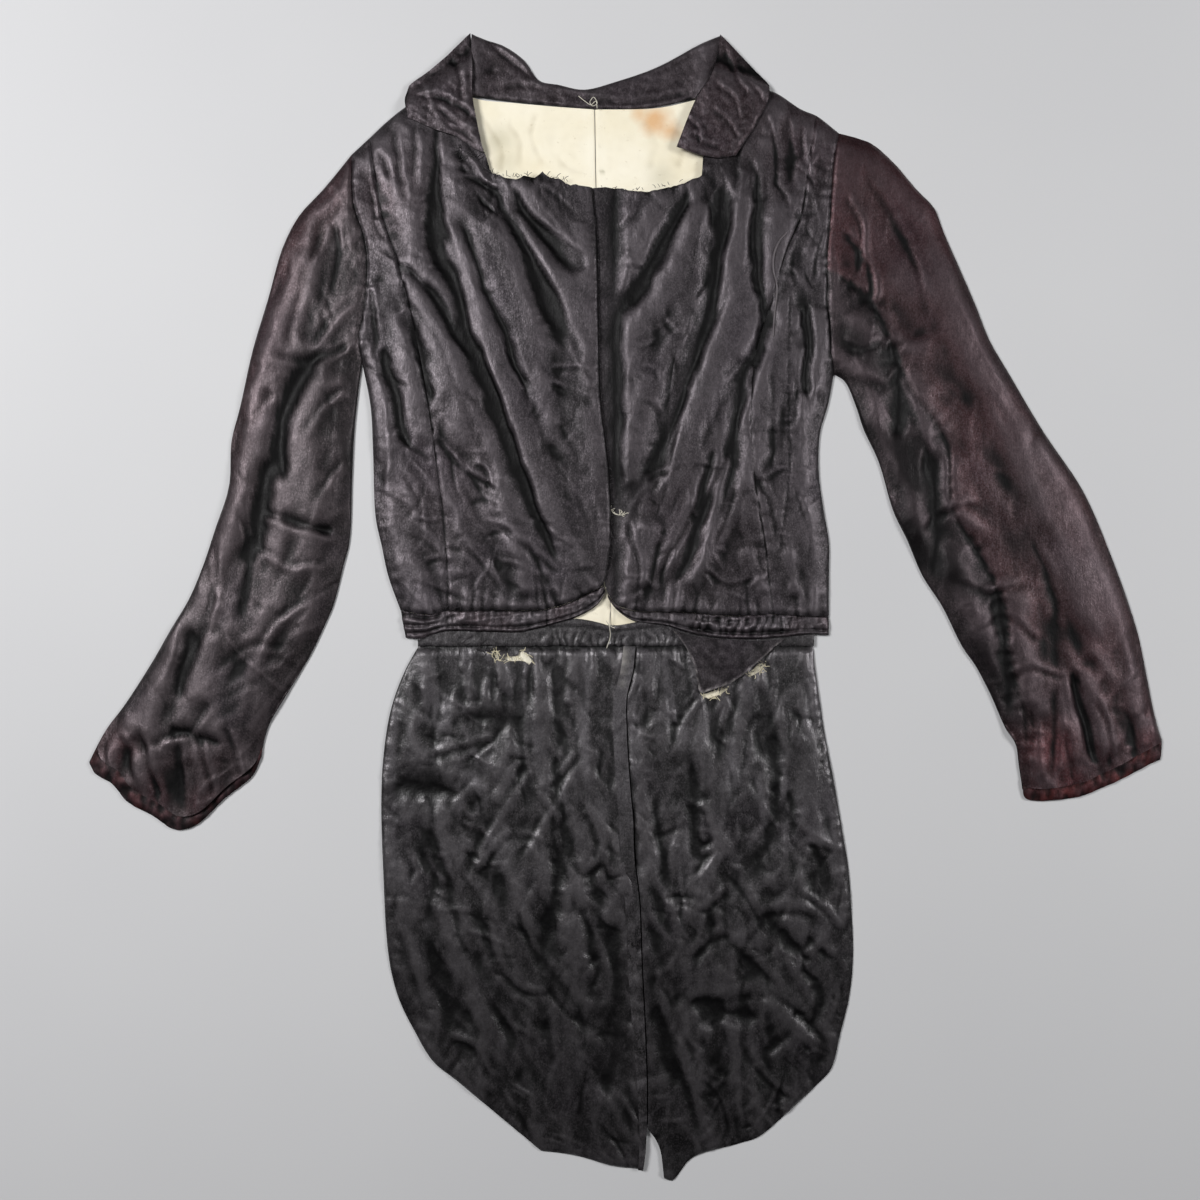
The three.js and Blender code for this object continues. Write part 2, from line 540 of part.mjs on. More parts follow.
const insetBy = (shape, amount) => shape.offset(-amount, 'Round', 2, 32);

function addBacks() {
  const halves = { right: backRight, left: backLeft };
  const liningRoom = insetBy(body, LINING_SEAM).intersect(insetBy(underside, LINING_INSET));
  for (const [side, half] of Object.entries(halves)) {
    const panel = half.offset(-SEAM_GAP / 2, 'Miter');
    addPiece(`back_${side}`, cloth(panel.intersect(insetBy(underside, BACK_INSET)), 0, BACK_CLOTH), 'satin');
    const lining = cloth(panel.intersect(liningRoom), BACK_CLOTH + LAYER_GAP, LINING_CLOTH);
    addPiece(`back_lining_${side}`, lining, 'lining_cotton', 0.9);
  }
}

function ruffle({ pitch, rise, from, to }, x) {
  return x > from && x < to ? rise * Math.sin((2 * Math.PI * x) / pitch) : 0;
}

function addHemBands() {
  const rounded = (rise) => (x, y) => HEM_UNDER * rise(x, y);
  const lowered = (rows) => rows.map(([x, y]) => [x, y - HEM_STEP]);
  const [topRight, topLeft] = [lowered(HEMLINE_RIGHT), lowered(HEMLINE_LEFT)];
  const right = between(
    edge(topRight), edge(HEM_RIGHT), edge([topRight[0], HEM_RIGHT[0]]),
    edge([topRight.at(-1), HEM_RIGHT.at(-1)]));
  const columns = [0, 0.02, 0.06, ...even(18, 0.1, 1)];
  const bandRight = clothWall(right, columns, [0, 0.5, 1], rounded(riseRight), HEM_CLOTH);
  addPiece('hem_band_right', bandRight, 'satin');
  const left = between(
    edge(topLeft), edge(HEM_LEFT), edge([topLeft[0], HEM_LEFT[0]]),
    edge([topLeft.at(-1), HEM_LEFT.at(-1)]));
  const wall = (x) => HEM_CLOTH + ruffle(HEM_RUFFLES, x);
  const leftColumns = [...even(11, 0, 0.34), ...even(24, 0.36, 0.82), 0.88, 0.94, 0.98, 1];
  addPiece('hem_band_left', clothWall(left, leftColumns, [0, 0.5, 1], rounded(riseLeft), wall), 'satin');
}

function addWaistbands() {
  const height = (x) => WAISTBAND_TOP - WAIST_GATHERS.rise + ruffle(WAIST_GATHERS, x);
  const strips = [
    { name: 'waistband_right', from: -166, to: CENTRE_OPENING - SEAM_GAP, shown: [0.66, 1] },
    { name: 'waistband_left', from: CENTRE_OPENING + SEAM_GAP, to: 150, shown: [0, 0.3] },
  ];
  for (const { name, from, to, shown } of strips) {
    const top = edge([[from, BACK_WAIST - SEAM_GAP], [to, BACK_WAIST - SEAM_GAP]]);
    const bottom = edge([[from, WAISTBAND_LOW], [to, WAISTBAND_LOW]]);
    const patch = between(top, bottom, edge([[from, BACK_WAIST - SEAM_GAP], [from, WAISTBAND_LOW]]),
      edge([[to, BACK_WAIST - SEAM_GAP], [to, WAISTBAND_LOW]]));
    const columns = [0, ...even(24, ...shown).filter((u) => u > 0 && u < 1), 1];
    addPiece(name, clothWall(patch, columns, [0, 1], () => 0, height), 'satin');
  }
}

// ---- Sleeves -----------------------------------------------------------------------------------------
function addSleeve(side, patch, under, outline, columns) {
  const sleeveRows = [0, 0.012, ...even(18, 0.045, CUFF_STRIP)];
  const upper = clothWall(patch, columns, sleeveRows, under, FRONT_CLOTH, ARMHOLE_GAP);
  addPiece(`upper_sleeve_${side}`, upper, 'sleeve_satin');
  const facingUnder = (x, y) => Math.min(SLEEVE_LEAST, under(x, y));
  const strip = [CUFF_STRIP, 1];
  addPiece(`cuff_facing_${side}`, clothWall(patch, columns, strip, facingUnder, FACING_CLOTH), 'faded_satin');
  const shape = outline.offset(-ARMHOLE_GAP / 2, 'Miter').intersect(insetBy(underside, BACK_INSET));
  addPiece(`under_sleeve_${side}`, cloth(shape, 0, BACK_CLOTH), 'sleeve_satin');
}

function addSleeves() {
  const columns = [0, 0.03, 0.1, ...even(7, 0.2, 0.9), 0.97, 1];
  const right = between(
    edge(ARMHOLE_RIGHT), edge(CUFF_RIGHT), edge(SLEEVE_OUT_RIGHT), edge(SLEEVE_IN_RIGHT));
  addSleeve('right', right, sleeveUnderRight, sleeveRight, columns);
  const left = between(
    edge([...ARMHOLE_LEFT].reverse()), edge(CUFF_LEFT), edge(SLEEVE_IN_LEFT), edge(SLEEVE_OUT_LEFT));
  addSleeve('left', left, sleeveUnderLeft, sleeveLeft, columns);
}

// ---- Collar ------------------------------------------------------------------------------------------
const BAND_END_RISE = 3.4; // the stand rises to the falls at its two ends
const BAND_END_WIDTH = 10;
const BAND_FOLD_RADIUS = 5;

function addCollar() {
  const band = between(edge(COLLAR_TOP), edge(COLLAR_SEAM), edge(COLLAR_END_RIGHT), edge(COLLAR_END_LEFT));
  const topLine = sampled(COLLAR_TOP);
  const ends = [COLLAR_SEAM[0][0], COLLAR_SEAM.at(-1)[0] + BAND_END_WIDTH];
  const bandWall = (x, y) => {
    const fold = 0.55 + 0.45 * roundUp(nearest(topLine, x, y).away, BAND_FOLD_RADIUS);
    const raised = ends.reduce((sum, end) => sum + Math.exp(-(((x - end) / BAND_END_WIDTH) ** 2)), 0);
    return (BAND_CLOTH + BAND_END_RISE * raised) * fold;
  };
  addPiece('collar_band', clothWall(band, even(16), [0, 0.08, 0.3, 1], () => 0, bandWall), 'satin');
  const falls = [
    {
      name: 'collar_fall_right',
      patch: between(edge(FALL_TOP_RIGHT), edge(FALL_LOW_RIGHT), edge(FALL_OUT_RIGHT), edge(FALL_FOLD_RIGHT)),
      past: (x, y) => 0.83 * (y - 416 - 0.66 * (x + 137)),
    },
    {
      name: 'collar_fall_left',
      patch: between(edge(FALL_TOP_LEFT), edge(FALL_LOW_LEFT), edge(FALL_FOLD_LEFT), edge(FALL_OUT_LEFT)),
      past: (x, y) => 0.92 * (y - 414 + 0.42 * (x - 87)),
    },
  ];
  for (const { name, patch, past } of falls) {
    const under = (x, y) => COLLAR_UNDER - COLLAR_DROOP * smooth(past(x, y), 3, 18);
    addPiece(name, clothWall(patch, even(6), even(7), under, COLLAR_CLOTH), 'satin');
  }
}

// ---- Basque tails ------------------------------------------------------------------------------------
function addTails() {
  const rows = [0, ...even(18, 0.04, 0.97), 0.992, 1];
  const right = between(
    edge(TAIL_TOP_RIGHT), edge(TAIL_LOW_RIGHT), edge(TAIL_OUT_RIGHT), joined(TAIL_CENTRE, TAIL_END_RIGHT));
  const rightColumns = [0, 0.02, 0.06, ...even(10, 0.13, 0.94), 0.97, 1];
  const tailRight = clothWall(right, rightColumns, rows, tailUnderRight, TAIL_CLOTH, TAIL_GAP);
  addPiece('tail_right', cutThrough(tailRight, RIPS_RIGHT), 'satin', 0.3);
  const facingUnder = (x, y) => tailUnderRight(x, y) + TAIL_CLOTH + LAYER_GAP;
  const facing = clothWall(right, rightColumns.slice(-3), rows, facingUnder, FACING_CLOTH, TAIL_GAP);
  addPiece('tail_facing_right', facing, 'satin', 0.3);
  const left = between(
    edge(TAIL_TOP_LEFT), edge(TAIL_LOW_LEFT), joined(TAIL_CENTRE, TAIL_END_LEFT), edge(TAIL_OUT_LEFT));
  const leftColumns = [0, 0.05, ...even(10, 0.13, 0.94), 0.98, 1];
  const tailLeft = clothWall(left, leftColumns, rows, tailUnderLeft, TAIL_CLOTH, TAIL_GAP);
  addPiece('tail_left', cutThrough(tailLeft, RIPS_LEFT), 'satin', 0.3);
}

function addTailLinings() {
  const strips = [
    {
      name: 'tail_lining_right',
      outline: [[-163, -33], [3, -33], [-4, TAIL_LINING_LOW], [-180, TAIL_LINING_LOW]],
    },
    {
      name: 'tail_lining_left',
      outline: [[12, -33], [143, -33], [148, TAIL_LINING_LOW], [8, TAIL_LINING_LOW]],
    },
  ];
  for (const { name, outline } of strips) {
    const points = outline.map(([x, y]) => ({ x, y }));
    addPiece(name, flatCloth(points, 0, INTERLINING_CLOTH), 'lining_cotton', 0.9);
  }
}

function addTornFlap() {
  const patch = between(edge(FLAP_TOP), edge(FLAP_TIP), edge(FLAP_LEFT), edge(FLAP_RIGHT));
  addPiece('torn_flap', clothWall(patch, even(6), even(5), () => FLAP_UNDER, FLAP_CLOTH), 'satin');
}

addFronts();
addSideFronts();
addBacks();
addHemBands();
addWaistbands();
addSleeves();
addCollar();
addTails();
addTailLinings();
addTornFlap();

const bounds = new THREE.Box3().setFromObject(group);
const middle = bounds.getCenter(new THREE.Vector3());
group.position.set(-middle.x, -middle.y, -bounds.min.z);

export default group;
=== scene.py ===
import math

import bpy
import numpy as np
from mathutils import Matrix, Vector


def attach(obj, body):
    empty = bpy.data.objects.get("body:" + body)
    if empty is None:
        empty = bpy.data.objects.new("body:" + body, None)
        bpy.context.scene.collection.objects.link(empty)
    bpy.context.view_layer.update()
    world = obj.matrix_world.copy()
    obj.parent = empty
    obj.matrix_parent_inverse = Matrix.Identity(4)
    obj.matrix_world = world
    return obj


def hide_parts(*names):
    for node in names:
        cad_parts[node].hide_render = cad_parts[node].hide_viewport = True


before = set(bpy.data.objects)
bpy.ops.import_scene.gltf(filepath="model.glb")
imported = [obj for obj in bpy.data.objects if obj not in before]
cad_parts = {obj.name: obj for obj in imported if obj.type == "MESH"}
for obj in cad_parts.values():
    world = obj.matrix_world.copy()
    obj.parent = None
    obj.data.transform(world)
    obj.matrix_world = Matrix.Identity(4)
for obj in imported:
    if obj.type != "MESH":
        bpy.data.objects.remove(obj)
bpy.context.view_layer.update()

SHIFT_X, SHIFT_Y = 0.6588, -0.0897  # from the garment's frame to the part's, in millimetres
MM = 0.001

# ---- Driving dimensions, as in the solids --------------------------------------------------------------
SEAM_GAP = 0.3
LAYER_GAP = 0.3
BACK_CLOTH = 1.2
LINING_CLOTH = 1.2
FRONT_CLOTH = 2.2
TAIL_CLOTH = 1.6
COLLAR_CLOTH = 2.4
FLAP_CLOTH = 1.6
FACING_CLOTH = 0.9
INTERLINING_CLOTH = 1.0
BAND_CLOTH = 4.0
LOFT = 4.6
TAIL_LOFT = 1.8
EDGE_RADIUS = 12
TAIL_EDGE_RADIUS = 7
LINING_TOP = BACK_CLOTH + LAYER_GAP + LINING_CLOTH
WAISTBAND_TOP = 3.4
HEM_UNDER = WAISTBAND_TOP + LAYER_GAP + 0.3
COLLAR_UNDER = LOFT + FRONT_CLOTH + 0.6
COLLAR_DROOP = 5
FLAP_UNDER = 3.9
BACK_WAIST = -14
WAISTBAND_LOW = -29.4
CENTRE_OPENING = -12
TAIL_LINING_LOW = -80
TAIL_GAP = 1.0
CUFF_STRIP = 0.975
BODY_LEAST = LINING_TOP + LAYER_GAP
SLEEVE_LEAST = BACK_CLOTH + LAYER_GAP + 0.1

# ---- Outlines and seams, each row x, y, from the collar down or from the wearer's right to left ------
SHOULDER_RIGHT = [[-137, 416], [-155, 410], [-173, 402], [-190, 389], [-205, 375], [-219, 362]]
ARMHOLE_RIGHT = [
    [-219, 362], [-217, 323], [-208, 293], [-206, 266], [-209, 238], [-213, 214], [-211, 197],
]
SIDE_RIGHT = [[-211, 197], [-204, 161], [-202, 124], [-200, 73], [-195, 49], [-190, 26], [-180, -2]]
PRINCESS_RIGHT = [
    [-205, 375], [-202, 356], [-194, 313], [-183, 280], [-174, 246], [-163, 195], [-155, 150], [-149, 102],
    [-144, 54], [-141, -2],
]
NECK_RIGHT = [[-137, 416], [-123, 389], [-111, 358]]
NECKLINE_RIGHT = [[-111, 358], [-106, 346], [-91, 341], [-65, 344], [-45, 337], [-27, 334]]
CENTRE_RIGHT = [
    [-27, 334], [-23, 293], [-22, 242], [-20, 165], [-16, 132], [-13, 103], [-12, 62], [-14, 38], [-18, 18],
]
HEM_SIDE_RIGHT = [[-180, -2], [-178, -14], [-176, -24]]
HEMLINE_RIGHT = [[-180, -2], [-158, -5], [-141, -2], [-98, -2], [-65, -1], [-41, 6], [-18, 18]]
HEM_RIGHT = [
    [-176, -24], [-163, -24], [-146, -19], [-83, -19], [-58, -13], [-36, -6], [-22, 3], [-16, 13],
]
SLEEVE_OUT_RIGHT = [
    [-219, 362], [-241, 335], [-261, 313], [-274, 288], [-286, 246], [-298, 206], [-308, 161], [-315, 133],
    [-317, 97], [-328, 63], [-338, 33], [-349, 7], [-364, -18], [-377, -41], [-400, -77], [-415, -97],
    [-429, -123],
]
SLEEVE_IN_RIGHT = [
    [-211, 197], [-217, 144], [-219, 103], [-221, 54], [-226, 33], [-234, 2], [-240, -12], [-253, -39],
    [-269, -64], [-281, -83], [-289, -105], [-291, -119],
]
CUFF_RIGHT = [
    [-429, -123], [-424, -132], [-410, -141], [-398, -155], [-378, -166], [-360, -177], [-344, -174],
    [-320, -152], [-298, -134], [-291, -119],
]
SHOULDER_LEFT = [[87, 414], [103, 415], [118, 412], [140, 398], [152, 393], [170, 379]]
ARMHOLE_LEFT = [[170, 379], [165, 354], [162, 313], [160, 266], [162, 214], [166, 187]]
SIDE_LEFT = [
    [166, 187], [161, 161], [155, 140], [154, 108], [158, 77], [162, 53], [162, 26], [162, -7],
]
PRINCESS_LEFT = [
    [152, 393], [146, 356], [140, 313], [128, 284], [115, 242], [103, 201], [99, 158], [101, 118], [106, 78],
    [112, 38], [117, -5],
]
NECK_LEFT = [[61, 358], [74, 386], [87, 414]]
NECKLINE_LEFT = [[-34, 334], [-14, 335], [14, 331], [50, 339], [62, 346], [61, 358]]
CENTRE_LEFT = [
    [-34, 334], [-30, 293], [-29, 242], [-26, 165], [-22, 132], [-20, 103], [-18, 79], [-16, 62], [-15, 42],
    [-17, 22], [-15, 12],
]
HEM_SIDE_LEFT = [[162, -7], [162, -14], [162, -22]]
HEMLINE_LEFT = [[-15, 12], [-8, 3], [6, -2], [42, -3], [82, -6], [117, -5], [162, -7]]
HEM_LEFT = [[-14.6, 8], [-8, -1], [5, -10], [31, -14], [54, -21], [98, -25], [150, -21], [162, -22]]
SLEEVE_OUT_LEFT = [
    [170, 379], [185, 375], [197, 370], [215, 354], [231, 335], [246, 319], [254, 299], [265, 274], [279, 242],
    [290, 214], [304, 190], [333, 141], [361, 100], [372, 79], [386, 45], [399, 10], [409, -22], [416, -56],
    [422, -86], [428, -109], [427, -121],
]
SLEEVE_IN_LEFT = [
    [166, 187], [175, 181], [184, 161], [190, 143], [202, 117], [214, 77], [225, 54], [237, 26], [253, 1],
    [269, -31], [280, -47], [292, -70], [303, -93], [311, -104], [314, -122], [317, -142],
]
CUFF_LEFT = [[317, -142], [319, -152], [361, -151], [377, -145], [399, -135], [420, -124], [427, -121]]
COLLAR_SEAM = [[-121, 408], [-89, 404], [-57, 401], [-22, 398], [25, 400], [53, 406]]
COLLAR_TOP = [
    [-121, 457], [-110, 453], [-98, 449], [-82, 438], [-69, 421], [-54, 418], [-34, 414], [-6, 421], [25, 432],
    [59, 450], [73, 456],
]
COLLAR_END_RIGHT = [[-121, 457], [-121, 430], [-121, 408]]
COLLAR_END_LEFT = [[73, 456], [67, 427], [53, 406]]
FALL_TOP_RIGHT = [[-173, 416], [-149, 434], [-124, 458]]
FALL_OUT_RIGHT = [[-173, 416], [-176, 405], [-173, 389]]
FALL_LOW_RIGHT = [[-173, 389], [-150, 379], [-135, 374], [-120, 364], [-113, 361]]
FALL_FOLD_RIGHT = [[-124, 458], [-122, 430], [-122, 408], [-118, 384], [-113, 361]]
FALL_TOP_LEFT = [[75, 457], [93, 438], [114, 416]]
FALL_OUT_LEFT = [[114, 416], [113, 405], [103, 384], [87, 359]]
FALL_LOW_LEFT = [[40, 366], [56, 360], [73, 357], [87, 359]]
FALL_FOLD_LEFT = [[75, 457], [69, 426], [55, 403], [40, 366]]
CENTRE_BACK = [[-25, 398], [-24, 339], [-18, 160], [-12, BACK_WAIST]]
BACK_NECK_RIGHT = [[-137, 416], [-121, 407], [-89, 403], [-57, 400], [-25, 397.5]]
BACK_NECK_LEFT = [[-25, 397.5], [25, 399], [53, 405], [87, 414]]
TAIL_TOP_RIGHT = [[-166, -30], [-90, -30], [8, -30]]
TAIL_OUT_RIGHT = [
    [-166, -30], [-177, -50], [-188, -80], [-194, -116], [-196, -154], [-194, -220], [-192, -260], [-188, -291],
    [-181, -315], [-170, -337], [-154, -363], [-134, -379], [-102, -406], [-68, -434],
]
TAIL_LOW_RIGHT = [[-68, -434], [-40, -438], [-11, -446], [14, -449]]
TAIL_CENTRE = [
    [8, -30], [6, -50], [1, -71], [1, -99], [4, -146], [6, -168], [7, -198], [11, -234], [13, -286], [15, -326],
    [17, -379], [17, -415],
]
TAIL_END_RIGHT = [[17, -415], [16, -433], [14, -449]]
TAIL_END_LEFT = [[17, -415], [26, -430], [30, -456]]
TAIL_TOP_LEFT = [[8, -30], [80, -30], [150, -30]]
TAIL_OUT_LEFT = [
    [150, -30], [151, -44], [155, -72], [159, -99], [167, -141], [174, -182], [178, -206], [181, -246],
    [182, -278], [179, -310], [172, -339], [164, -369], [154, -380], [134, -399],
]
TAIL_LOW_LEFT = [[30, -456], [37, -458], [53, -440], [92, -428], [106, -423], [134, -399]]
FLAP_TOP = [[37, -17.4], [54, -22], [98, -26], [126, -24.6]]
FLAP_LEFT = [[37, -17.4], [52, -42], [58, -67]]
FLAP_TIP = [[58, -67], [62, -67.5], [66, -66]]
FLAP_RIGHT = [[126, -24.6], [107, -42], [87, -58], [66, -66]]

# ---- Rips, each an outline of x, y that is cut through the tail's satin ------------------------------
RIPS_RIGHT = [
    [[-107, -34], [-102, -35], [-102, -40], [-106, -39.5]],
    [
        [-99, -38], [-93, -38.5], [-86, -38], [-85, -34], [-82, -34.5], [-79, -36], [-77, -39], [-74.5, -42],
        [-77.5, -45.5], [-80, -43], [-84, -42], [-91, -42.5], [-97, -41],
    ],
]
RIPS_LEFT = [
    [[60, -69.5], [69, -66.5], [79, -63], [82, -64], [75, -69], [66, -72.5]],
    [[97, -52.5], [103, -47.5], [109, -43], [112, -44.5], [106, -51], [99, -55]],
]

# ---- Folds, a row each: width, rise (below 0 for a trough) and its path of x, y ----------------------
FOLDS_RIGHT = [
    [8, -4.5, [[-149, 376], [-151, 286], [-138, 262], [-110, 173], [-67, 62], [-49, 22]]],
    [8, 3.2, [[-134, 310], [-118, 240], [-97, 180], [-68, 100], [-50, 40]]],
    [6, -3.4, [[-134, 313], [-94, 210], [-75, 158]]],
    [7, -4, [[-110, 339], [-83, 293], [-57, 235], [-41, 207]]],
    [8, 3, [[-112, 320], [-86, 255], [-66, 190], [-58, 120]]],
    [7, -4.2, [[-91, 338], [-77, 309], [-45, 276], [-26, 270]]],
    [6, -3.4, [[-179, 280], [-146, 235], [-120, 194]]],
    [6, -3, [[-195, 210], [-179, 149], [-171, 124]]],
    [5, -3, [[-171, 226], [-153, 161]]],
    [9, 2.6, [[-36, 330], [-30, 240], [-28, 165], [-22, 110], [-22, 70]]],
    [8, -2, [[-57, 175], [-22, 165]]],
    [8, 3, [[-91, 62], [-77, 8]]],
    [10, 3, [[-36, 60], [-30, 30]]],
    [8, 2.4, [[-170, 300], [-164, 250], [-140, 190], [-128, 120]]],
]
FOLDS_LEFT = [
    [7, -4, [[-14, 240], [-10, 165], [-12, 110], [-4, 78]]],
    [7, -4.4, [[50, 335], [30, 290], [6, 250], [-13, 231]]],
    [8, 3, [[62, 325], [42, 270], [16, 226]]],
    [8, -4.4, [[78, 352], [74, 293], [65, 231], [47, 186], [29, 128], [2, 90]]],
    [8, 3, [[92, 345], [88, 290], [77, 220], [52, 150]]],
    [7, -4, [[106, 360], [103, 282], [110, 216], [96, 195], [82, 103], [70, 62]]],
    [6, -3, [[70, 132], [54, 53], [37, 16]]],
    [8, 3.4, [[20, 72], [14, 12]]],
    [5, -2.5, [[146, 242], [142, 165]]],
    [6, -2, [[86, 81], [109, 106]]],
    [6, 2.4, [[94, 50], [110, 10]]],
    [6, 2.4, [[130, 50], [136, 8]]],
    [8, 2.4, [[124, 330], [118, 270], [90, 180], [94, 120]]],
]
SLEEVE_FOLDS = [
    [7, -3.6, [[-239, 206], [-259, 183], [-272, 155], [-277, 125], [-267, 94]]],
    [9, -3.6, [[-285, 122], [-293, 63], [-302, 33]]],
    [7, -3, [[-282, 174], [-298, 146]]],
    [12, 3, [[-250, 290], [-272, 230], [-290, 190]]],
    [5, -2.5, [[-277, 74], [-231, 61]]],
    [7, -3.2, [[-343, -13], [-351, -38], [-358, -74]]],
    [8, 3, [[-354, -20], [-366, -59], [-377, -87], [-382, -110]]],
    [6, -3.2, [[-387, -100], [-405, -138]]],
    [5, -2.4, [[-364, -94], [-318, -110]]],
    [10, 2.6, [[-250, 150], [-250, 80], [-262, 10]]],
    [9, -3.6, [[209, 214], [218, 180], [213, 132]]],
    [10, 3.2, [[182, 240], [192, 200], [186, 176]]],
    [8, -3, [[241, 132], [246, 74], [243, 19]]],
    [7, -3, [[294, 17], [300, -29], [306, -91]]],
    [5, -3, [[354, -47], [363, -82], [375, -125]]],
    [5, -2.6, [[403, -84], [401, -112]]],
    [14, 2.6, [[240, 300], [300, 150], [350, 40], [390, -60]]],
    [5, -2, [[317, 127], [336, 153]]],
]
TAIL_FOLDS_RIGHT = [
    [9, -2.6, [[-186, -138], [-133, -146]]],
    [10, 2.4, [[-182, -158], [-140, -170]]],
    [14, -2.4, [[-12, -246], [-8, -330], [-18, -400]]],
    [10, 2.4, [[-44, -240], [-40, -330]]],
    [9, 2.4, [[-90, -92], [-100, -160], [-80, -260]]],
    [8, -2.2, [[-60, -96], [-50, -180], [-70, -300]]],
    [9, 2.4, [[-150, -220], [-126, -300], [-84, -380]]],
]
TAIL_FOLDS_LEFT = [
    [7, 2.4, [[13, -90], [16, -160], [20, -230]]],
    [6, -2.2, [[49, -154], [61, -206]]],
    [8, -2.6, [[106, -240], [125, -262], [148, -283]]],
    [8, -2.6, [[47, -313], [106, -329]]],
    [7, 2.4, [[108, -307], [158, -357]]],
    [6, -2.2, [[24, -313], [40, -387]]],
    [8, 2.4, [[62, -329], [58, -392]]],
    [9, 2.4, [[60, -100], [74, -160], [56, -260]]],
    [9, -2.2, [[110, -92], [122, -150], [100, -226]]],
    [8, 2.4, [[142, -92], [152, -200]]],
]
WAIST_GATHERS = dict(pitch=6.5, rise=0.45, start=-64, stop=36)


# ---- Creases, a row each: width, depth, rise of the lip beside it, and its path of x, y ---------------
CREASES_FRONT_RIGHT = [
    [3, 1.6, 1.0, [
        [-153, 370], [-151, 326], [-143, 298], [-121, 246], [-113, 198], [-97, 150], [-81, 102], [-69, 66],
        [-53, 34]]],
    [3, 1.0, 0.6, [[-129, 254], [-109, 214], [-97, 190], [-75, 158]]],
    [3, 1.2, 0.8, [[-109, 338], [-97, 310], [-69, 270], [-53, 238], [-37, 206], [-25, 190]]],
    [3, 1.2, 0.8, [[-91, 336], [-77, 310], [-53, 290], [-29, 274]]],
    [2.5, 1.0, 0.7, [[-177, 278], [-175, 246], [-153, 222], [-143, 198], [-133, 166]]],
    [3, 0.8, 0.5, [[-177, 258], [-161, 230], [-129, 194], [-117, 182]]],
    [3, 0.9, 0.4, [[-195, 210], [-185, 174], [-177, 154]]],
    [2, 0.8, 0.7, [[-153, 138], [-139, 118], [-125, 106], [-97, 90]]],
    [2, 0.9, 0.8, [[-123, 114], [-113, 108], [-109, 92]]],
    [2.5, 0.8, 0.6, [[-105, 70], [-77, 46], [-53, 26]]],
    [2, 0.5, 0.5, [[-169, 70], [-153, 66], [-143, 70]]],
    [2, 0.6, 0.5, [[-161, 34], [-149, 38], [-137, 36]]],
    [2.5, 1.0, 0.9, [[-65, 180], [-45, 170], [-23, 160]]],
    [2.5, 0.9, 0.8, [[-61, 190], [-41, 188], [-23, 184]]],
    [2.5, 0.8, 0.6, [[-57, 146], [-37, 122], [-41, 108]]],
    [2, 0.6, 0.5, [[-69, 336], [-53, 326], [-37, 310]]],
    [2, 0.6, 0.5, [[-81, 334], [-63, 310], [-41, 282]]],
    [2.5, 0.8, 0.6, [[-137, 302], [-129, 278], [-109, 246]]],
    [2, 0.5, 0.4, [[-181, 110], [-165, 86], [-161, 54]]],
    [2.5, 0.7, 0.6, [[-97, 66], [-73, 38], [-61, 18]]],
    [2, 0.7, 0.5, [[-41, 94], [-29, 66], [-25, 38]]],
    [2, 0.6, 0.5, [[-129, 50], [-109, 26], [-97, 10]]],
]
CREASES_FRONT_LEFT = [
    [3, 1.4, 1.0, [[51, 332], [43, 314], [27, 290], [11, 262], [-17, 234]]],
    [3, 1.5, 1.0, [[79, 346], [81, 310], [71, 262], [65, 230], [51, 190], [39, 154], [27, 126], [11, 110]]],
    [3, 1.0, 0.8, [[99, 310], [97, 278], [75, 238], [59, 198], [47, 158]]],
    [3, 1.3, 0.9, [[111, 230], [103, 190], [87, 150], [67, 86], [47, 46]]],
    [2.5, 1.0, 0.8, [[67, 114], [51, 70], [31, 38], [27, 14]]],
    [2.5, 0.8, 0.6, [[91, 110], [79, 70], [67, 46]]],
    [2, 0.8, 0.8, [[-13, 294], [1, 306], [15, 318]]],
    [2, 0.7, 0.7, [[-5, 284], [3, 274], [13, 270]]],
    [2, 0.7, 0.5, [[27, 230], [43, 214], [51, 230]]],
    [2, 0.5, 0.5, [[11, 190], [21, 188], [27, 180]]],
    [2, 0.5, 0.4, [[15, 98], [31, 109], [87, 110]]],
    [2.5, 0.7, 0.5, [[7, 166], [17, 162], [27, 152]]],
    [2.5, 0.9, 0.7, [[-1, 70], [11, 30], [7, 6]]],
    [2.5, 0.8, 0.6, [[27, 54], [21, 30], [19, 10]]],
    [2, 0.6, 0.5, [[59, 30], [79, 18], [103, 22]]],
    [2.5, 0.9, 0.6, [[95, 118], [111, 86], [123, 50]]],
    [2, 0.5, 0.4, [[-5, 214], [11, 206], [27, 214]]],
    [2, 0.6, 0.5, [[-17, 262], [-9, 270], [7, 282]]],
    [2, 0.5, 0.5, [[43, 150], [35, 118], [19, 86]]],
]
CREASES_SIDES = [
    [2.5, 0.8, 0.5, [[115, 190], [117, 150], [115, 110]]],
    [2.5, 0.6, 0.5, [[131, 210], [135, 166], [133, 138]]],
    [3, 1.6, 0.8, [[143, 246], [145, 198], [143, 162]]],
    [2.5, 0.9, 0.6, [[155, 302], [151, 278], [151, 258]]],
    [2, 0.6, 0.5, [[103, 98], [119, 108], [129, 110]]],
    [2, 0.5, 0.5, [[131, 98], [143, 70], [147, 38]]],
    [2.5, 0.8, 0.5, [[-205, 262], [-199, 222], [-201, 190]]],
    [2, 0.6, 0.5, [[-205, 338], [-199, 310], [-191, 290]]],
    [2, 0.6, 0.5, [[-199, 30], [-191, 18], [-185, 6]]],
    [2.5, 0.7, 0.5, [[-197, 166], [-193, 126], [-195, 86]]],
]
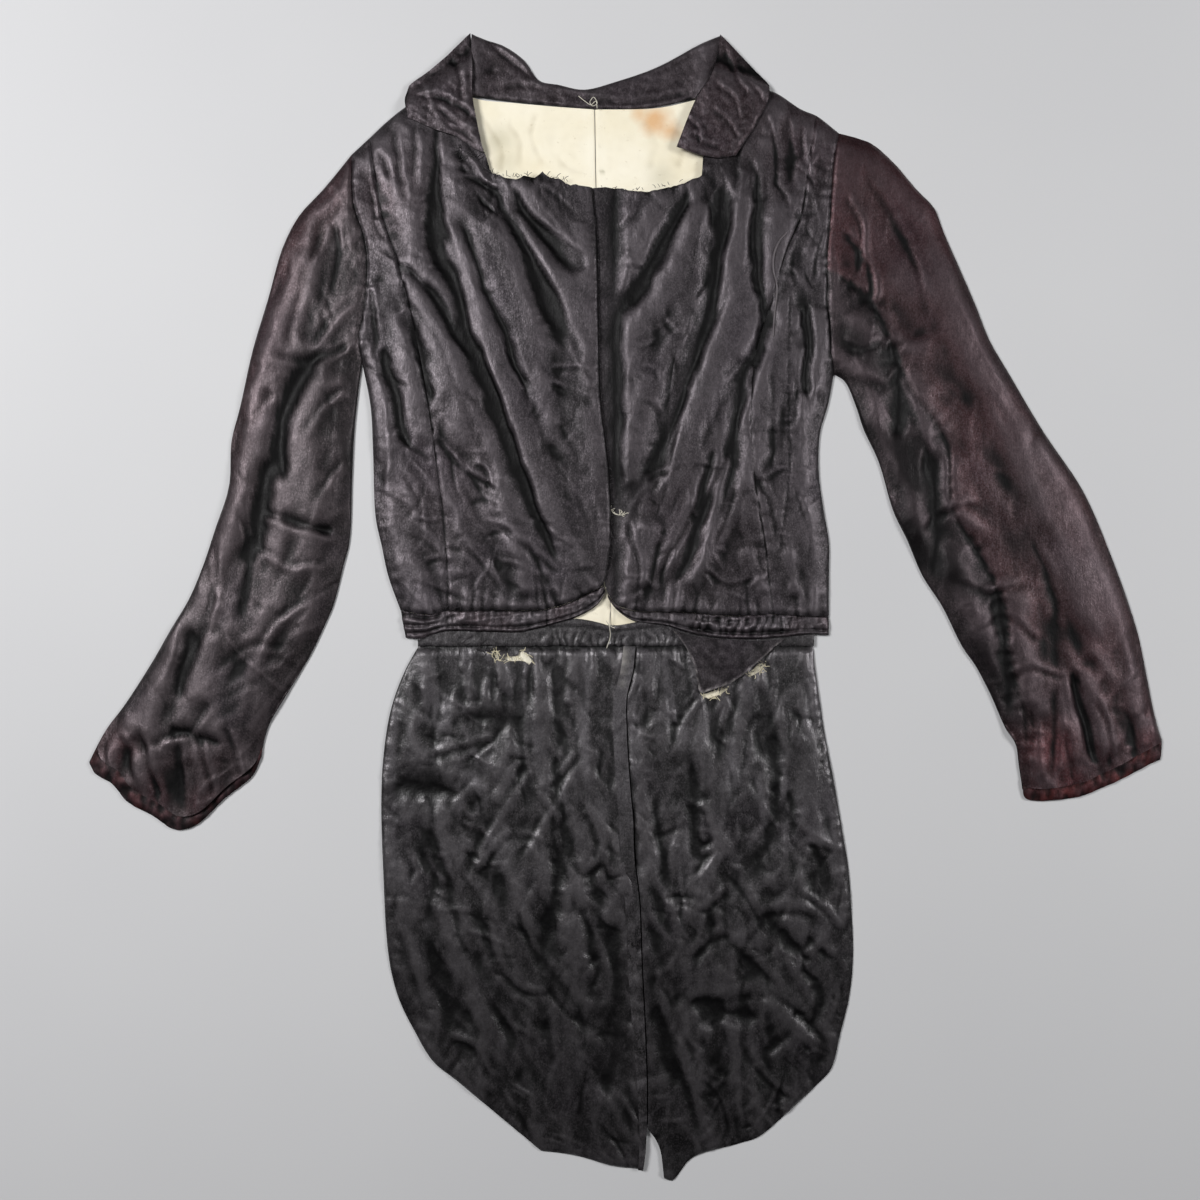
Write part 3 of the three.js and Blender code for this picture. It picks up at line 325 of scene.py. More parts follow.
CREASES_TAIL_RIGHT = [
    [4, 1.0, 0.6, [[-191, -142], [-157, -148], [-131, -150]]],
    [6, 0.9, 0.4, [[-145, -96], [-113, -88], [-81, -94]]],
    [3, 0.8, 0.9, [[-77, -122], [-113, -178], [-129, -218]]],
    [3, 0.7, 0.8, [[-41, -122], [-69, -170], [-85, -202]]],
    [3, 0.6, 0.6, [[-89, -118], [-99, -134], [-109, -154]]],
    [4, 0.7, 0.5, [[-51, -42], [-53, -94], [-45, -118]]],
    [4, 1.1, 0.7, [[-67, -94], [-57, -134], [-59, -186], [-45, -226], [-29, -262], [-25, -306]]],
    [3, 0.8, 0.7, [[-37, -154], [-23, -194], [-29, -226]]],
    [4, 0.9, 0.6, [[-157, -170], [-145, -210], [-137, -246], [-125, -282]]],
    [3, 0.8, 0.8, [[-113, -242], [-105, -282], [-85, -306], [-57, -306]]],
    [3, 0.7, 0.9, [[-137, -258], [-133, -266], [-127, -278]]],
    [4, 0.9, 0.6, [[-181, -258], [-169, -298], [-157, -338]]],
    [3, 0.6, 0.7, [[-181, -226], [-185, -238], [-187, -250]]],
    [4, 0.9, 0.6, [[-17, -90], [-9, -122], [-15, -150]]],
    [3, 0.8, 0.7, [[-145, -346], [-125, -350], [-109, -378]]],
    [3, 0.8, 0.6, [[-105, -378], [-85, -410], [-69, -430]]],
    [4, 0.8, 0.5, [[-53, -290], [-37, -330], [-33, -362]]],
    [3, 0.6, 0.5, [[-161, -122], [-133, -114], [-101, -106]]],
    [3, 0.6, 0.6, [[-169, -62], [-165, -74], [-161, -86]]],
    [3, 0.6, 0.5, [[-119, -134], [-131, -146], [-145, -162]]],
    [3, 0.7, 0.6, [[-73, -210], [-85, -242], [-73, -282]]],
    [3, 0.7, 0.8, [[-123, -214], [-109, -202], [-89, -178]]],
    [3, 0.6, 0.7, [[-69, -146], [-53, -138], [-33, -114]]],
    [3, 0.7, 0.6, [[-165, -190], [-153, -218], [-145, -226]]],
    [3, 0.8, 0.7, [[-45, -202], [-33, -214], [-17, -202]]],
    [4, 0.8, 0.6, [[-109, -310], [-93, -346], [-97, -374]]],
    [4, 0.7, 0.5, [[-69, -322], [-57, -362], [-49, -402]]],
    [3, 0.7, 0.7, [[-129, -318], [-119, -334], [-121, -358]]],
]
CREASES_TAIL_LEFT = [
    [4, 0.8, 0.6, [[35, -42], [43, -74], [35, -118]]],
    [4, 0.8, 0.6, [[51, -106], [55, -162], [51, -210]]],
    [3, 1.0, 1.0, [[59, -154], [67, -186], [55, -218]]],
    [3, 0.8, 0.8, [[75, -122], [71, -174], [59, -194]]],
    [3, 0.6, 0.6, [[93, -94], [91, -138], [75, -170]]],
    [4, 0.9, 0.6, [[115, -74], [121, -122], [115, -170], [99, -210]]],
    [4, 0.9, 0.7, [[127, -134], [135, -170], [155, -202], [171, -226]]],
    [4, 1.2, 1.0, [[105, -248], [127, -242], [147, -246], [151, -262], [127, -274]]],
    [5, 1.2, 0.8, [[47, -318], [75, -314], [107, -310]]],
    [4, 1.0, 0.9, [[107, -306], [135, -322], [163, -354]]],
    [4, 0.9, 0.8, [[75, -258], [99, -282], [127, -314]]],
    [4, 0.9, 0.7, [[19, -218], [35, -258], [43, -282]]],
    [4, 0.8, 0.9, [[51, -282], [71, -266], [83, -258]]],
    [4, 0.9, 0.7, [[35, -354], [51, -394], [59, -422]]],
    [4, 1.0, 0.8, [[135, -282], [155, -306], [151, -338]]],
    [3, 0.8, 0.6, [[91, -346], [111, -378], [135, -394]]],
    [3, 0.7, 0.6, [[75, -330], [83, -362], [75, -386]]],
    [4, 0.9, 0.7, [[43, -226], [67, -250], [51, -290]]],
    [3, 0.8, 0.8, [[143, -258], [155, -274], [167, -282]]],
    [4, 0.8, 0.5, [[19, -134], [27, -186], [35, -226]]],
    [3, 0.6, 0.5, [[67, -50], [75, -98], [71, -134]]],
    [3, 0.8, 0.9, [[55, -182], [63, -188], [75, -182]]],
    [3, 0.8, 0.8, [[59, -246], [71, -238], [79, -226]]],
    [3, 0.7, 0.7, [[139, -190], [155, -192], [173, -198]]],
    [3, 0.7, 0.6, [[131, -78], [143, -102], [147, -134]]],
    [3, 0.8, 0.8, [[135, -226], [155, -242], [171, -262]]],
    [3, 0.7, 0.7, [[43, -338], [55, -362], [51, -386]]],
    [4, 0.8, 0.7, [[139, -318], [127, -342], [107, -354]]],
]

# ---- Curves and heights --------------------------------------------------------------------------------
def curve(rows):
    """Points close together on a smooth curve through the rows."""
    p = np.array(rows, float)
    p = np.vstack([2 * p[0] - p[1], p, 2 * p[-1] - p[-2]])
    count = max(6, 400 // (len(rows) - 1))
    t = np.linspace(0, 1, count, endpoint=False)[:, None]
    parts = []
    for a, b, c, d in zip(p, p[1:], p[2:], p[3:]):
        ab, bc, cd = (math.sqrt(np.linalg.norm(s)) for s in (b - a, c - b, d - c))
        m1 = ((b - a) / ab - (c - a) / (ab + bc) + (c - b) / bc) * bc
        m2 = ((c - b) / bc - (d - b) / (bc + cd) + (d - c) / cd) * bc
        parts.append(b + m1 * t + (3 * (c - b) - 2 * m1 - m2) * t**2 + (2 * (b - c) + m1 + m2) * t**3)
    return np.vstack([*parts, p[-2:-1]])


def edge(*tables):
    """Several curves as one edge, by the share of its length, with a corner where two of them meet."""
    points = np.vstack([curve(rows) for rows in tables])
    length = np.concatenate([[0], np.cumsum(np.linalg.norm(np.diff(points, axis=0), axis=1))])

    def at(t):
        s = np.asarray(t, float) * length[-1]
        return np.stack([np.interp(s, length, points[:, 0]), np.interp(s, length, points[:, 1])], -1)

    return at


def sampled(rows, count=60):
    """Points at even steps along the curve through the rows."""
    return edge(rows)(np.linspace(0, 1, count + 1))


def nearest(points, x, y):
    """How far each point is from the line, where along it from 0 to 1, and on which side of it."""
    best = np.full(x.shape, 1e9)
    along = np.zeros(x.shape)
    side = np.ones(x.shape)
    for k, (a, b) in enumerate(zip(points, points[1:])):
        dx, dy = b - a
        px, py = x - a[0], y - a[1]
        part = np.clip((px * dx + py * dy) / (dx * dx + dy * dy), 0, 1)
        ex, ey = px - part * dx, py - part * dy
        away = np.hypot(ex, ey)
        closer = away < best
        best = np.where(closer, away, best)
        along = np.where(closer, (k + part) / (len(points) - 1), along)
        side = np.where(closer, np.sign(dx * ey - dy * ex), side)
    return best, along, side


def distance(rows, x, y):
    """How far each point is from the curve through the rows."""
    return nearest(sampled(rows), x, y)[0]


def smooth(value, low, high):
    """0 up to the low value, 1 from the high one on, and an even curve between them."""
    t = np.clip((value - low) / (high - low), 0, 1)
    return t * t * (3 - 2 * t)


def bell(distance, width):
    """1 on a line, falling off to both sides of it."""
    return np.exp(-((distance / width) ** 2))


def round_up(away, radius):
    """A quarter circle: 0 at the edge, 1 from the radius on."""
    return np.sqrt(1 - (1 - np.minimum(away / radius, 1)) ** 2)


def within_reach(points, reach, x, y):
    """Which x, y lie in the box round the points, grown by this reach."""
    low, high = points.min(0) - reach, points.max(0) + reach
    return (x > low[0]) & (x < high[0]) & (y > low[1]) & (y < high[1])


EDGE_REACH = 30  # an edge further off than this shapes nothing


def away_from(outlines, x, y):
    """How far each point is from the nearest of these edges."""
    best = np.full(x.shape, 1e9)
    for rows in outlines:
        points = sampled(rows)
        close = within_reach(points, EDGE_REACH, x, y)
        if close.any():
            best[close] = np.minimum(best[close], nearest(points, x[close], y[close])[0])
    return best


def noise(x, y, size, seed, stretch=1.0, angle=0.0):
    """Smooth noise from about -1 to 1, its blobs of this size, longer by the stretch along the angle."""
    c, s = math.cos(math.radians(angle)), math.sin(math.radians(angle))
    u = (x * c + y * s) / (size * stretch) + 40
    v = (y * c - x * s) / size + 40
    angles = np.random.default_rng(seed).uniform(0, 2 * math.pi, (64, 64))
    iu, iv = np.floor(u).astype(int), np.floor(v).astype(int)
    fu, fv = u - iu, v - iv

    def corner(i, j):
        turn = angles[(iu + i) % 64, (iv + j) % 64]
        return np.cos(turn) * (fu - i) + np.sin(turn) * (fv - j)

    su, sv = (f**3 * (f * (6 * f - 15) + 10) for f in (fu, fv))
    low = corner(0, 0) * (1 - su) + corner(1, 0) * su
    high = corner(0, 1) * (1 - su) + corner(1, 1) * su
    return 1.5 * (low * (1 - sv) + high * sv)


FOLD_FADE = 0.16
FULL_FOLD = 75  # a shorter fold is as much shallower


def wandering(x, y, amount=2.0):
    """The points moved a little, so that no fold runs as evenly as its table says."""
    return x + amount * noise(x, y, 26, 5), y + amount * noise(x, y, 26, 6)


def rows_near(rows, reach, x, y, count=16):
    """Each row of a table that comes near any of the points: its sizes, its path, which points those are,
    and how far they lie from it, where along it and on which side."""
    for *sizes, path in rows:
        points = sampled(path, count)
        close = within_reach(points, reach(*sizes), x, y)
        if close.any():
            yield sizes, points, close, nearest(points, x[close], y[close])


def faded_ends(along):
    """0 at the two ends of a path, 1 on most of its length."""
    return smooth(along, 0, FOLD_FADE) * smooth(1 - along, 0, FOLD_FADE)


def line_field(rows, x, y):
    """Folds and creases: rows of width, depth, lip and path, the depth above 0 for a trough."""
    z = np.zeros(x.shape)
    near = rows_near(rows, lambda width, depth, lip: 4 * width + 3, *wandering(x, y))
    for (width, depth, lip), _, close, (away, along, side) in near:
        beside = bell(away * side - 1.7 * width, width)
        z[close] += faded_ends(along) * (lip * beside - depth * bell(away, width))
    return z


def fold_field(rows, x, y):
    """The solids' folds: a trough has a tight core and a broad shoulder on each side, a ridge is round."""
    z = np.zeros(x.shape)
    near = rows_near(rows, lambda width, rise: 6.5 * width, *wandering(x, y))
    for (width, rise), points, close, (away, along, side) in near:
        across = away * side
        rise = rise * min(1, np.linalg.norm(points[-1] - points[0]) / FULL_FOLD)
        form = bell(away, width)
        if rise < 0:
            form = form + 0.3 * bell(away, 0.34 * width)
            form -= 0.62 * bell(across - 2.3 * width, 1.7 * width)
            form -= 0.42 * bell(across + 2.2 * width, 1.6 * width)
        z[close] += rise * faded_ends(along) * form
    return z


def crumples(x, y, seed, count, box, angle, spread, length, width, depth, crisp):
    """Small creases, up or down: how many, over which box, their direction and its spread, the ranges of
    their sizes, and the share of a sharp form in them."""
    rng = np.random.default_rng(seed)
    z = np.zeros(x.shape)
    for _ in range(count):
        cx, cy = rng.uniform(box[0], box[1]), rng.uniform(box[2], box[3])
        turn = math.radians(angle + rng.normal(0, spread))
        long, wide = rng.uniform(*length), rng.uniform(*width)
        high = rng.uniform(*depth) * rng.choice([-1.0, 1.0])
        bend = rng.normal(0, 0.35) / long
        close = (abs(x - cx) < long) & (abs(y - cy) < long)
        if not close.any():
            continue
        dx, dy = x[close] - cx, y[close] - cy
        a = dx * math.cos(turn) + dy * math.sin(turn)
        d = dy * math.cos(turn) - dx * math.sin(turn) - bend * a * a
        fade = np.clip(1 - (2 * a / long) ** 2, 0, 1) ** 1.5
        round_form = bell(d, wide)
        sharp_form = np.clip(1 - abs(d) / (1.6 * wide), 0, 1)
        z[close] += high * fade * ((1 - crisp) * round_form + crisp * sharp_form)
    return z


def ridged(x, y, size, seed, stretch, angle):
    """Crisp ridges that branch, from 0 to 1, as storage leaves in silk."""
    return 1 - np.minimum(1, 2.2 * abs(noise(x, y, size, seed, stretch, angle)))


def seam_field(rows, x, y):
    """Seams: rows of groove depth, groove width, pucker pitch, pucker rise, pucker reach and path."""
    z = np.zeros(x.shape)
    for sizes, points, close, (away, along, _) in rows_near(rows, lambda *sizes: 2.5 * sizes[-1], x, y, 40):
        depth, width, pitch, rise, reach = sizes
        run = along * np.linalg.norm(np.diff(points, axis=0), axis=1).sum()
        phase = 2 * math.pi * run / pitch + 5 * noise(run, away * 0.3, 3 * pitch, 12)
        uneven = 0.55 + 0.9 * noise(run, away * 0.2, 2.2 * pitch, 13)
        pucker = rise * uneven * np.sin(phase) * np.exp(-((away / reach) ** 1.5))
        z[close] += pucker - depth * bell(away, width)
    return z


# ---- Meshes --------------------------------------------------------------------------------------------
def between(top, bottom, left, right, us, vs, inset=0.0):
    """Points between four edges, as a grid and its x and y, with the rim drawn in by the inset: top and
    bottom run in +X, left and right run down from the collar."""
    u, v = np.asarray(us)[None, :, None], np.asarray(vs)[:, None, None]
    corners = [e(t) for e in (top, bottom) for t in (0.0, 1.0)]
    grid = top(us)[None] * (1 - v) + bottom(us)[None] * v
    grid = grid + left(vs)[:, None] * (1 - u) + right(vs)[:, None] * u
    grid -= (corners[0] * (1 - u) + corners[1] * u) * (1 - v)
    grid -= (corners[2] * (1 - u) + corners[3] * u) * v
    if inset:
        draw_in(grid, inset)
    return grid, grid[..., 0], grid[..., 1]


def draw_in(grid, amount):
    """Moves the rim square to itself, so that the neighbours clear it at the seams."""
    high, wide = grid.shape[:2]
    rim = [(j, 0) for j in range(high)] + [(high - 1, i) for i in range(1, wide)]
    rim += [(j, wide - 1) for j in range(high - 2, -1, -1)] + [(0, i) for i in range(wide - 2, 0, -1)]
    js, is_ = np.array(rim).T
    points = grid[js, is_]
    step = np.roll(points, -1, axis=0) - points
    step /= np.maximum(np.linalg.norm(step, axis=1), 1e-6)[:, None]
    after = np.stack([-step[:, 1], step[:, 0]], -1)
    before = np.roll(after, 1, axis=0)
    share = amount / np.maximum(0.5, 1 + (before * after).sum(1))
    grid[js, is_] += (before + after) * share[:, None]


def blurred(z, radius):
    """Two passes of a running mean each way."""
    for axis in (0, 1):
        for _ in range(2):
            padded = np.pad(z, [(radius, radius) if k == axis else (0, 0) for k in (0, 1)], mode="edge")
            total = np.cumsum(padded, axis=axis)
            total = np.insert(total, 0, 0, axis=axis)
            count = 2 * radius + 1
            last, first = (np.take(total, range(s, s + z.shape[axis]), axis=axis) for s in (count, 0))
            z = (last - first) / count
    return z


def inside(outline, x, y):
    """Which points lie inside a closed outline."""
    within = np.zeros(x.shape, bool)
    for (ax, ay), (bx, by) in zip(outline, np.roll(outline, -1, axis=0)):
        crosses = (ay > y) != (by > y)
        with np.errstate(divide="ignore", invalid="ignore"):
            within ^= crosses & (x < (bx - ax) * (y - ay) / (by - ay) + ax)
    return within


SHARP_ANGLE = 62  # degrees between two faces, above which their edge shows as sharp


def add_mesh(name, points, faces, material, node=None, values=None):
    """A piece from points in garment millimetres, riding on the one body, with values for the shader."""
    mesh = bpy.data.meshes.new(name)
    placed = (np.asarray(points, float) + [SHIFT_X, SHIFT_Y, 0]) * MM
    mesh.from_pydata(placed.tolist(), [], [list(map(int, face)) for face in faces])
    mesh.update()
    for key, array in (values or {}).items():
        mesh.attributes.new(key, "FLOAT", "POINT").data.foreach_set("value", np.ravel(array).astype(np.float32))
    mesh.polygons.foreach_set("use_smooth", [True] * len(mesh.polygons))
    mesh.set_sharp_from_angle(angle=math.radians(SHARP_ANGLE))
    mesh.materials.append(material)
    piece = bpy.data.objects.new(name, mesh)
    bpy.context.scene.collection.objects.link(piece)
    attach(piece, "root")
    if node:
        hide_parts(node)


def open_holes(outlines, x, y):
    """Which cells of the grid stay. Points on the brink of a hole are moved onto its outline."""
    keep = np.ones((x.shape[0] - 1, x.shape[1] - 1), bool)
    for outline in outlines:
        ring = np.array(outline, float)
        middle_x, middle_y = (0.25 * (a[:-1, :-1] + a[1:, :-1] + a[:-1, 1:] + a[1:, 1:]) for a in (x, y))
        keep &= ~inside(ring, middle_x, middle_y)
        closed = np.vstack([ring, ring[:1]])
        rim = np.vstack([np.linspace(a, b, 12) for a, b in zip(closed, closed[1:])])
        removed, kept = (np.pad(cells, 1, constant_values=False) for cells in (~keep, keep))
        brink = within_reach(ring, 2, x, y)
        for cells in (removed, kept):
            brink &= cells[:-1, :-1] | cells[1:, :-1] | cells[:-1, 1:] | cells[1:, 1:]
        for j, i in zip(*np.nonzero(brink)):
            gap = np.hypot(rim[:, 0] - x[j, i], rim[:, 1] - y[j, i])
            x[j, i], y[j, i] = rim[gap.argmin()]
    return keep


def closed_faces(keep):
    """The faces of a closed wall: the kept cells twice, inner and outer, and the sides along every rim."""
    high, wide = keep.shape[0] + 1, keep.shape[1] + 1
    count = high * wide
    index = np.arange(count).reshape(high, wide)
    a, b, c, d = (q[keep] for q in (index[:-1, :-1], index[1:, :-1], index[1:, 1:], index[:-1, 1:]))
    runs = {}
    for p, q in ((a, b), (b, c), (c, d), (d, a)):
        for start, stop in zip(p.tolist(), q.tolist()):
            if (stop, start) in runs:
                del runs[stop, start]
            else:
                runs[start, stop] = True
    walls = np.array([[p, q, q + count, p + count] for p, q in runs])
    return np.concatenate([np.stack([a, b, c, d], -1) + count, np.stack([a, d, c, b], -1), walls])


def relief(top):
    """How deep in a hollow and how high on a ridge each point lies, 0 to 1, near by and further off."""
    near, far = blurred(top, 3), blurred(top, 9)
    hollow = np.clip((near - top) / 0.5, 0, 1) * 0.55 + np.clip((far - top - 0.15) / 1.6, 0, 1) * 0.9
    ridge = np.clip((top - near) / 0.5, 0, 1) * 0.5 + np.clip((top - far) / 1.8, 0, 1) * 0.6
    return hollow, ridge


LEAST_WALL = 0.25
RESTS_AT = 0.04  # the underside of a cloth on the surface


def shell(name, grid, top, thickness, material, extra, holes=(), floor=RESTS_AT, folded=None,
          open_rim=None):
    """A thin closed cloth: its outer side has these heights and its inner side lies a thickness below, or on
    the floor where folded is 0. Where open_rim is 0, its hollows get little painted shade. The node that it
    replaces is named as the piece is, without the name of the cloth."""
    x, y = grid[..., 0].copy(), grid[..., 1].copy()
    faces = closed_faces(open_holes(holes, x, y))
    low_side = np.maximum(top - thickness, floor)
    if folded is not None:
        low_side = floor + (low_side - floor) * folded
    top = np.maximum(top, low_side + LEAST_WALL)
    points = np.concatenate([np.stack([x, y, h], -1).reshape(-1, 3) for h in (low_side, top)])
    hollow, ridge = relief(top)
    if open_rim is not None:
        hollow = hollow * (0.2 + 0.8 * open_rim)
    values = {"hollow": np.clip(hollow, 0, 1), "ridge": np.clip(ridge, 0, 1), **extra}
    used = np.zeros(len(points), bool)
    used[faces] = True
    renumber = np.cumsum(used) - 1
    values = {key: np.concatenate([np.ravel(v), np.ravel(v)])[used] for key, v in values.items()}
    node = name.partition("_")[2]
    add_mesh(name, points[used], renumber[faces], material, node, values)


def even(length, step):
    """Shares of a length, at about this step."""
    return np.linspace(0, 1, max(2, round(length / step)) + 1)


def finer_at_top(length, shown, fine_step, step):
    """Shares of a length whose first part, the one that shows, has closer rows."""
    shown_rows = np.linspace(0, shown / length, round(shown / fine_step) + 1)
    return np.concatenate([shown_rows, np.linspace(shown / length, 1, round((length - shown) / step) + 1)[1:]])


def tube_mesh(name, strands, radius, material, sides=4):
    """Threads as one mesh: each strand a run of x, y, z points, thinner at its two ends."""
    points, faces = [], []
    for strand in strands:
        strand = np.asarray(strand, float)
        along = np.gradient(strand, axis=0)
        along /= np.maximum(np.linalg.norm(along, axis=1), 1e-9)[:, None]
        across = np.cross(along, [0.13, 0.21, 0.97])
        across /= np.maximum(np.linalg.norm(across, axis=1), 1e-9)[:, None]
        over = np.cross(across, along)
        base = len(points)
        for k, p in enumerate(strand):
            thin = radius * (0.6 if k in (0, len(strand) - 1) else 1)
            for s in range(sides):
                turn = 2 * math.pi * s / sides
                points.append(p + thin * (math.cos(turn) * across[k] + math.sin(turn) * over[k]))
        for k in range(len(strand) - 1):
            for s in range(sides):
                p, q = base + k * sides + s, base + k * sides + (s + 1) % sides
                faces.append([p, q, q + sides, p + sides])
        faces.append([base + s for s in range(sides)][::-1])
        faces.append([base + (len(strand) - 1) * sides + s for s in range(sides)])
    add_mesh(name, points, faces, material)


# ---- Materials -----------------------------------------------------------------------------------------
class Shader:
    """A node material, made a node at a time. A value that is a socket is linked."""

    def __init__(self, name):
        self.material = bpy.data.materials.new(name)
        self.material.use_nodes = True
        self.nodes = self.material.node_tree.nodes
        self.links = self.material.node_tree.links
        self.shader = self.nodes["Principled BSDF"]
        self.place = self.add("ShaderNodeTexCoord").outputs["Object"]

    def add(self, kind, inputs=None, **settings):
        made = self.nodes.new(kind)
        for key, value in settings.items():
            setattr(made, key, value)
        self.fill(made, inputs or {})
        return made

    def fill(self, made, inputs):
        for key, value in inputs.items():
            if isinstance(value, bpy.types.NodeSocket):
                self.links.new(value, made.inputs[key])
            else:
                made.inputs[key].default_value = value

    def scaled(self, x, y):
        return self.add("ShaderNodeMapping", {"Vector": self.place, "Scale": (x, y, 1.0)}).outputs[0]

    def noise(self, scale, detail=3.0, vector=None, roughness=0.55, kind="FBM"):
        inputs = {"Vector": vector or self.place, "Scale": scale, "Detail": detail, "Roughness": roughness}
        return self.add("ShaderNodeTexNoise", inputs, noise_type=kind).outputs["Fac"]

    def wave(self, scale, distortion, direction):
        inputs = {"Vector": self.place, "Scale": scale, "Distortion": distortion}
        return self.add("ShaderNodeTexWave", inputs, bands_direction=direction).outputs["Fac"]

    def value(self, name):
        return self.add("ShaderNodeAttribute", attribute_name=name).outputs["Fac"]

    def span(self, source, low, high, to_low=0.0, to_high=1.0):
        inputs = {0: source, 1: low, 2: high, 3: to_low, 4: to_high}
        return self.add("ShaderNodeMapRange", inputs).outputs[0]

    def maths(self, operation, a, b):
        return self.add("ShaderNodeMath", {0: a, 1: b}, operation=operation).outputs[0]

    def part(self, name, share):
        return self.maths("MULTIPLY", self.value(name), share)

    def mix(self, factor, a, b):
        return self.add("ShaderNodeMix", {0: factor, 6: a, 7: b}, data_type="RGBA").outputs[2]

    def tint(self, colour, factor, other):
        return self.mix(factor, colour, linear(*other))

    def bump(self, height, distance, strength, below=None):
        inputs = {"Height": height, "Distance": distance, "Strength": strength}
        if below is not None:
            inputs["Normal"] = below
        return self.add("ShaderNodeBump", inputs).outputs[0]


def linear(red, green, blue):
    """An sRGB colour, 0 to 255, as a shader colour."""
    parts = [c / 255 for c in (red, green, blue)]
    return (*(c / 12.92 if c <= 0.04045 else ((c + 0.055) / 1.055) ** 2.4 for c in parts), 1)


VIOLET_SHEEN = 40, 28, 44
GREEN_SHEEN = 28, 38, 33
HOLLOW_SHADE_BLACK = 5, 4, 5
BLACK_AND_PAINTED_SHADE = 7, 6, 7
BARE_THREAD = 150, 146, 142
SHEEN_TINT = 176, 160, 170


def satin(name, deep, lit, worn, faded=(84, 40, 42), roughness=0.44, crisp=0.36, lustre=0.65, shine=0.4):
    """Silk satin: floats of thread that shine, painted shade in the hollows and where the 'deep' value says,
    wear and a painted highlight on the ridges, faded places, painted streaks of sheen on the tails, and a
    painted iridescent sheen.
    """
    s = Shader(name)
    half_deep = [0.5 * c for c in deep]
    colour = s.mix(s.span(s.noise(7.0, 4.0), 0.32, 0.68), linear(*deep), linear(*lit))
    mottle = s.span(s.noise(46.0, 5.0), 0.35, 0.7)
    colour = s.tint(colour, s.maths("MULTIPLY", mottle, 0.35), worn)
    # Faded places. On the tails and their facing the same value paints streaks of sheen.
    colour = s.tint(colour, s.part("fade", 0.85), faded)
    # Painted iridescent sheen, in patches of violet and green.
    colour = s.tint(colour, s.span(s.noise(15.0, 2.0), 0.52, 0.7, 0.0, 0.22), VIOLET_SHEEN)
    colour = s.tint(colour, s.span(s.noise(21.0, 2.0, s.scaled(1.3, 0.8)), 0.56, 0.72, 0.0, 0.2), GREEN_SHEEN)
    grain = s.noise(880.0, 2.0, s.scaled(1.0, 0.7), 0.7)
    colour = s.tint(colour, s.span(grain, 0.5, 0.68, 0.0, 0.55), worn)
    colour = s.tint(colour, s.span(grain, 0.5, 0.34, 0.0, 0.5), half_deep)
    # Wear and a painted highlight on the ridges, less where the satin has faded.
    unfaded = s.span(s.value("fade"), 0.0, 1.0, 0.6, 0.2)
    colour = s.tint(colour, s.maths("MULTIPLY", s.value("ridge"), unfaded), worn)
    slubs = s.noise(420.0, 3.0, s.scaled(1.0, 0.5), 0.65)
    colour = s.tint(colour, s.span(slubs, 0.52, 0.7, 0.0, 0.18), [min(255, 1.25 * c) for c in worn])
    colour = s.tint(colour, s.span(slubs, 0.48, 0.32, 0.0, 0.22), half_deep)
    # Painted shade in the hollows.
    colour = s.tint(colour, s.part("hollow", 1.0), HOLLOW_SHADE_BLACK)
    # Painted shade where the 'deep' value says. On the left sleeve's inside part this also holds that part's
    # own black.
    colour = s.tint(colour, s.part("deep", 0.9), BLACK_AND_PAINTED_SHADE)
    colour = s.tint(colour, s.value("pale"), BARE_THREAD)

    rough = s.span(s.noise(60.0, 4.0), 0.3, 0.7, roughness - 0.07, roughness + 0.09)
    rough = s.maths("ADD", rough, s.part("hollow", 0.06))
    rough = s.maths("ADD", rough, s.span(grain, 0.3, 0.7, 0.05, -0.05))

    soft = s.bump(s.noise(38.0, 4.0, s.scaled(1.5, 0.7)), 0.0022, crisp)
    crinkle = s.noise(52.0, 4.0, s.scaled(1.4, 0.75), 0.5, "RIDGED_MULTIFRACTAL")
    soft = s.bump(s.span(crinkle, 0.0, 1.6), 0.003, crisp, soft)
    fine = s.bump(s.noise(150.0, 3.0), 0.0006, crisp * 0.9, soft)
    floats = s.noise(900.0, 2.0, s.scaled(1.0, 0.22))
    threads = s.bump(s.maths("ADD", floats, grain), 0.0003, 0.4, fine)
    weave = s.bump(s.wave(620.0, 1.5, "DIAGONAL"), 0.00012, 0.25, threads)
    s.fill(s.shader, {
        "Base Color": colour, "Roughness": rough, "Normal": weave, "Specular IOR Level": shine,
        "Metallic": lustre, "Sheen Weight": 0.03, "Sheen Roughness": 0.35, "Sheen Tint": linear(*SHEEN_TINT),
    })
    return s.material


CREAM = 250, 244, 226
AGED_CREAM = 238, 228, 200
AGE_SPECKS = 168, 146, 104
RUST = 222, 172, 118
COTTON_SHADE = 164, 158, 130
COTTON_HOLLOW_SHADE = 150, 134, 96


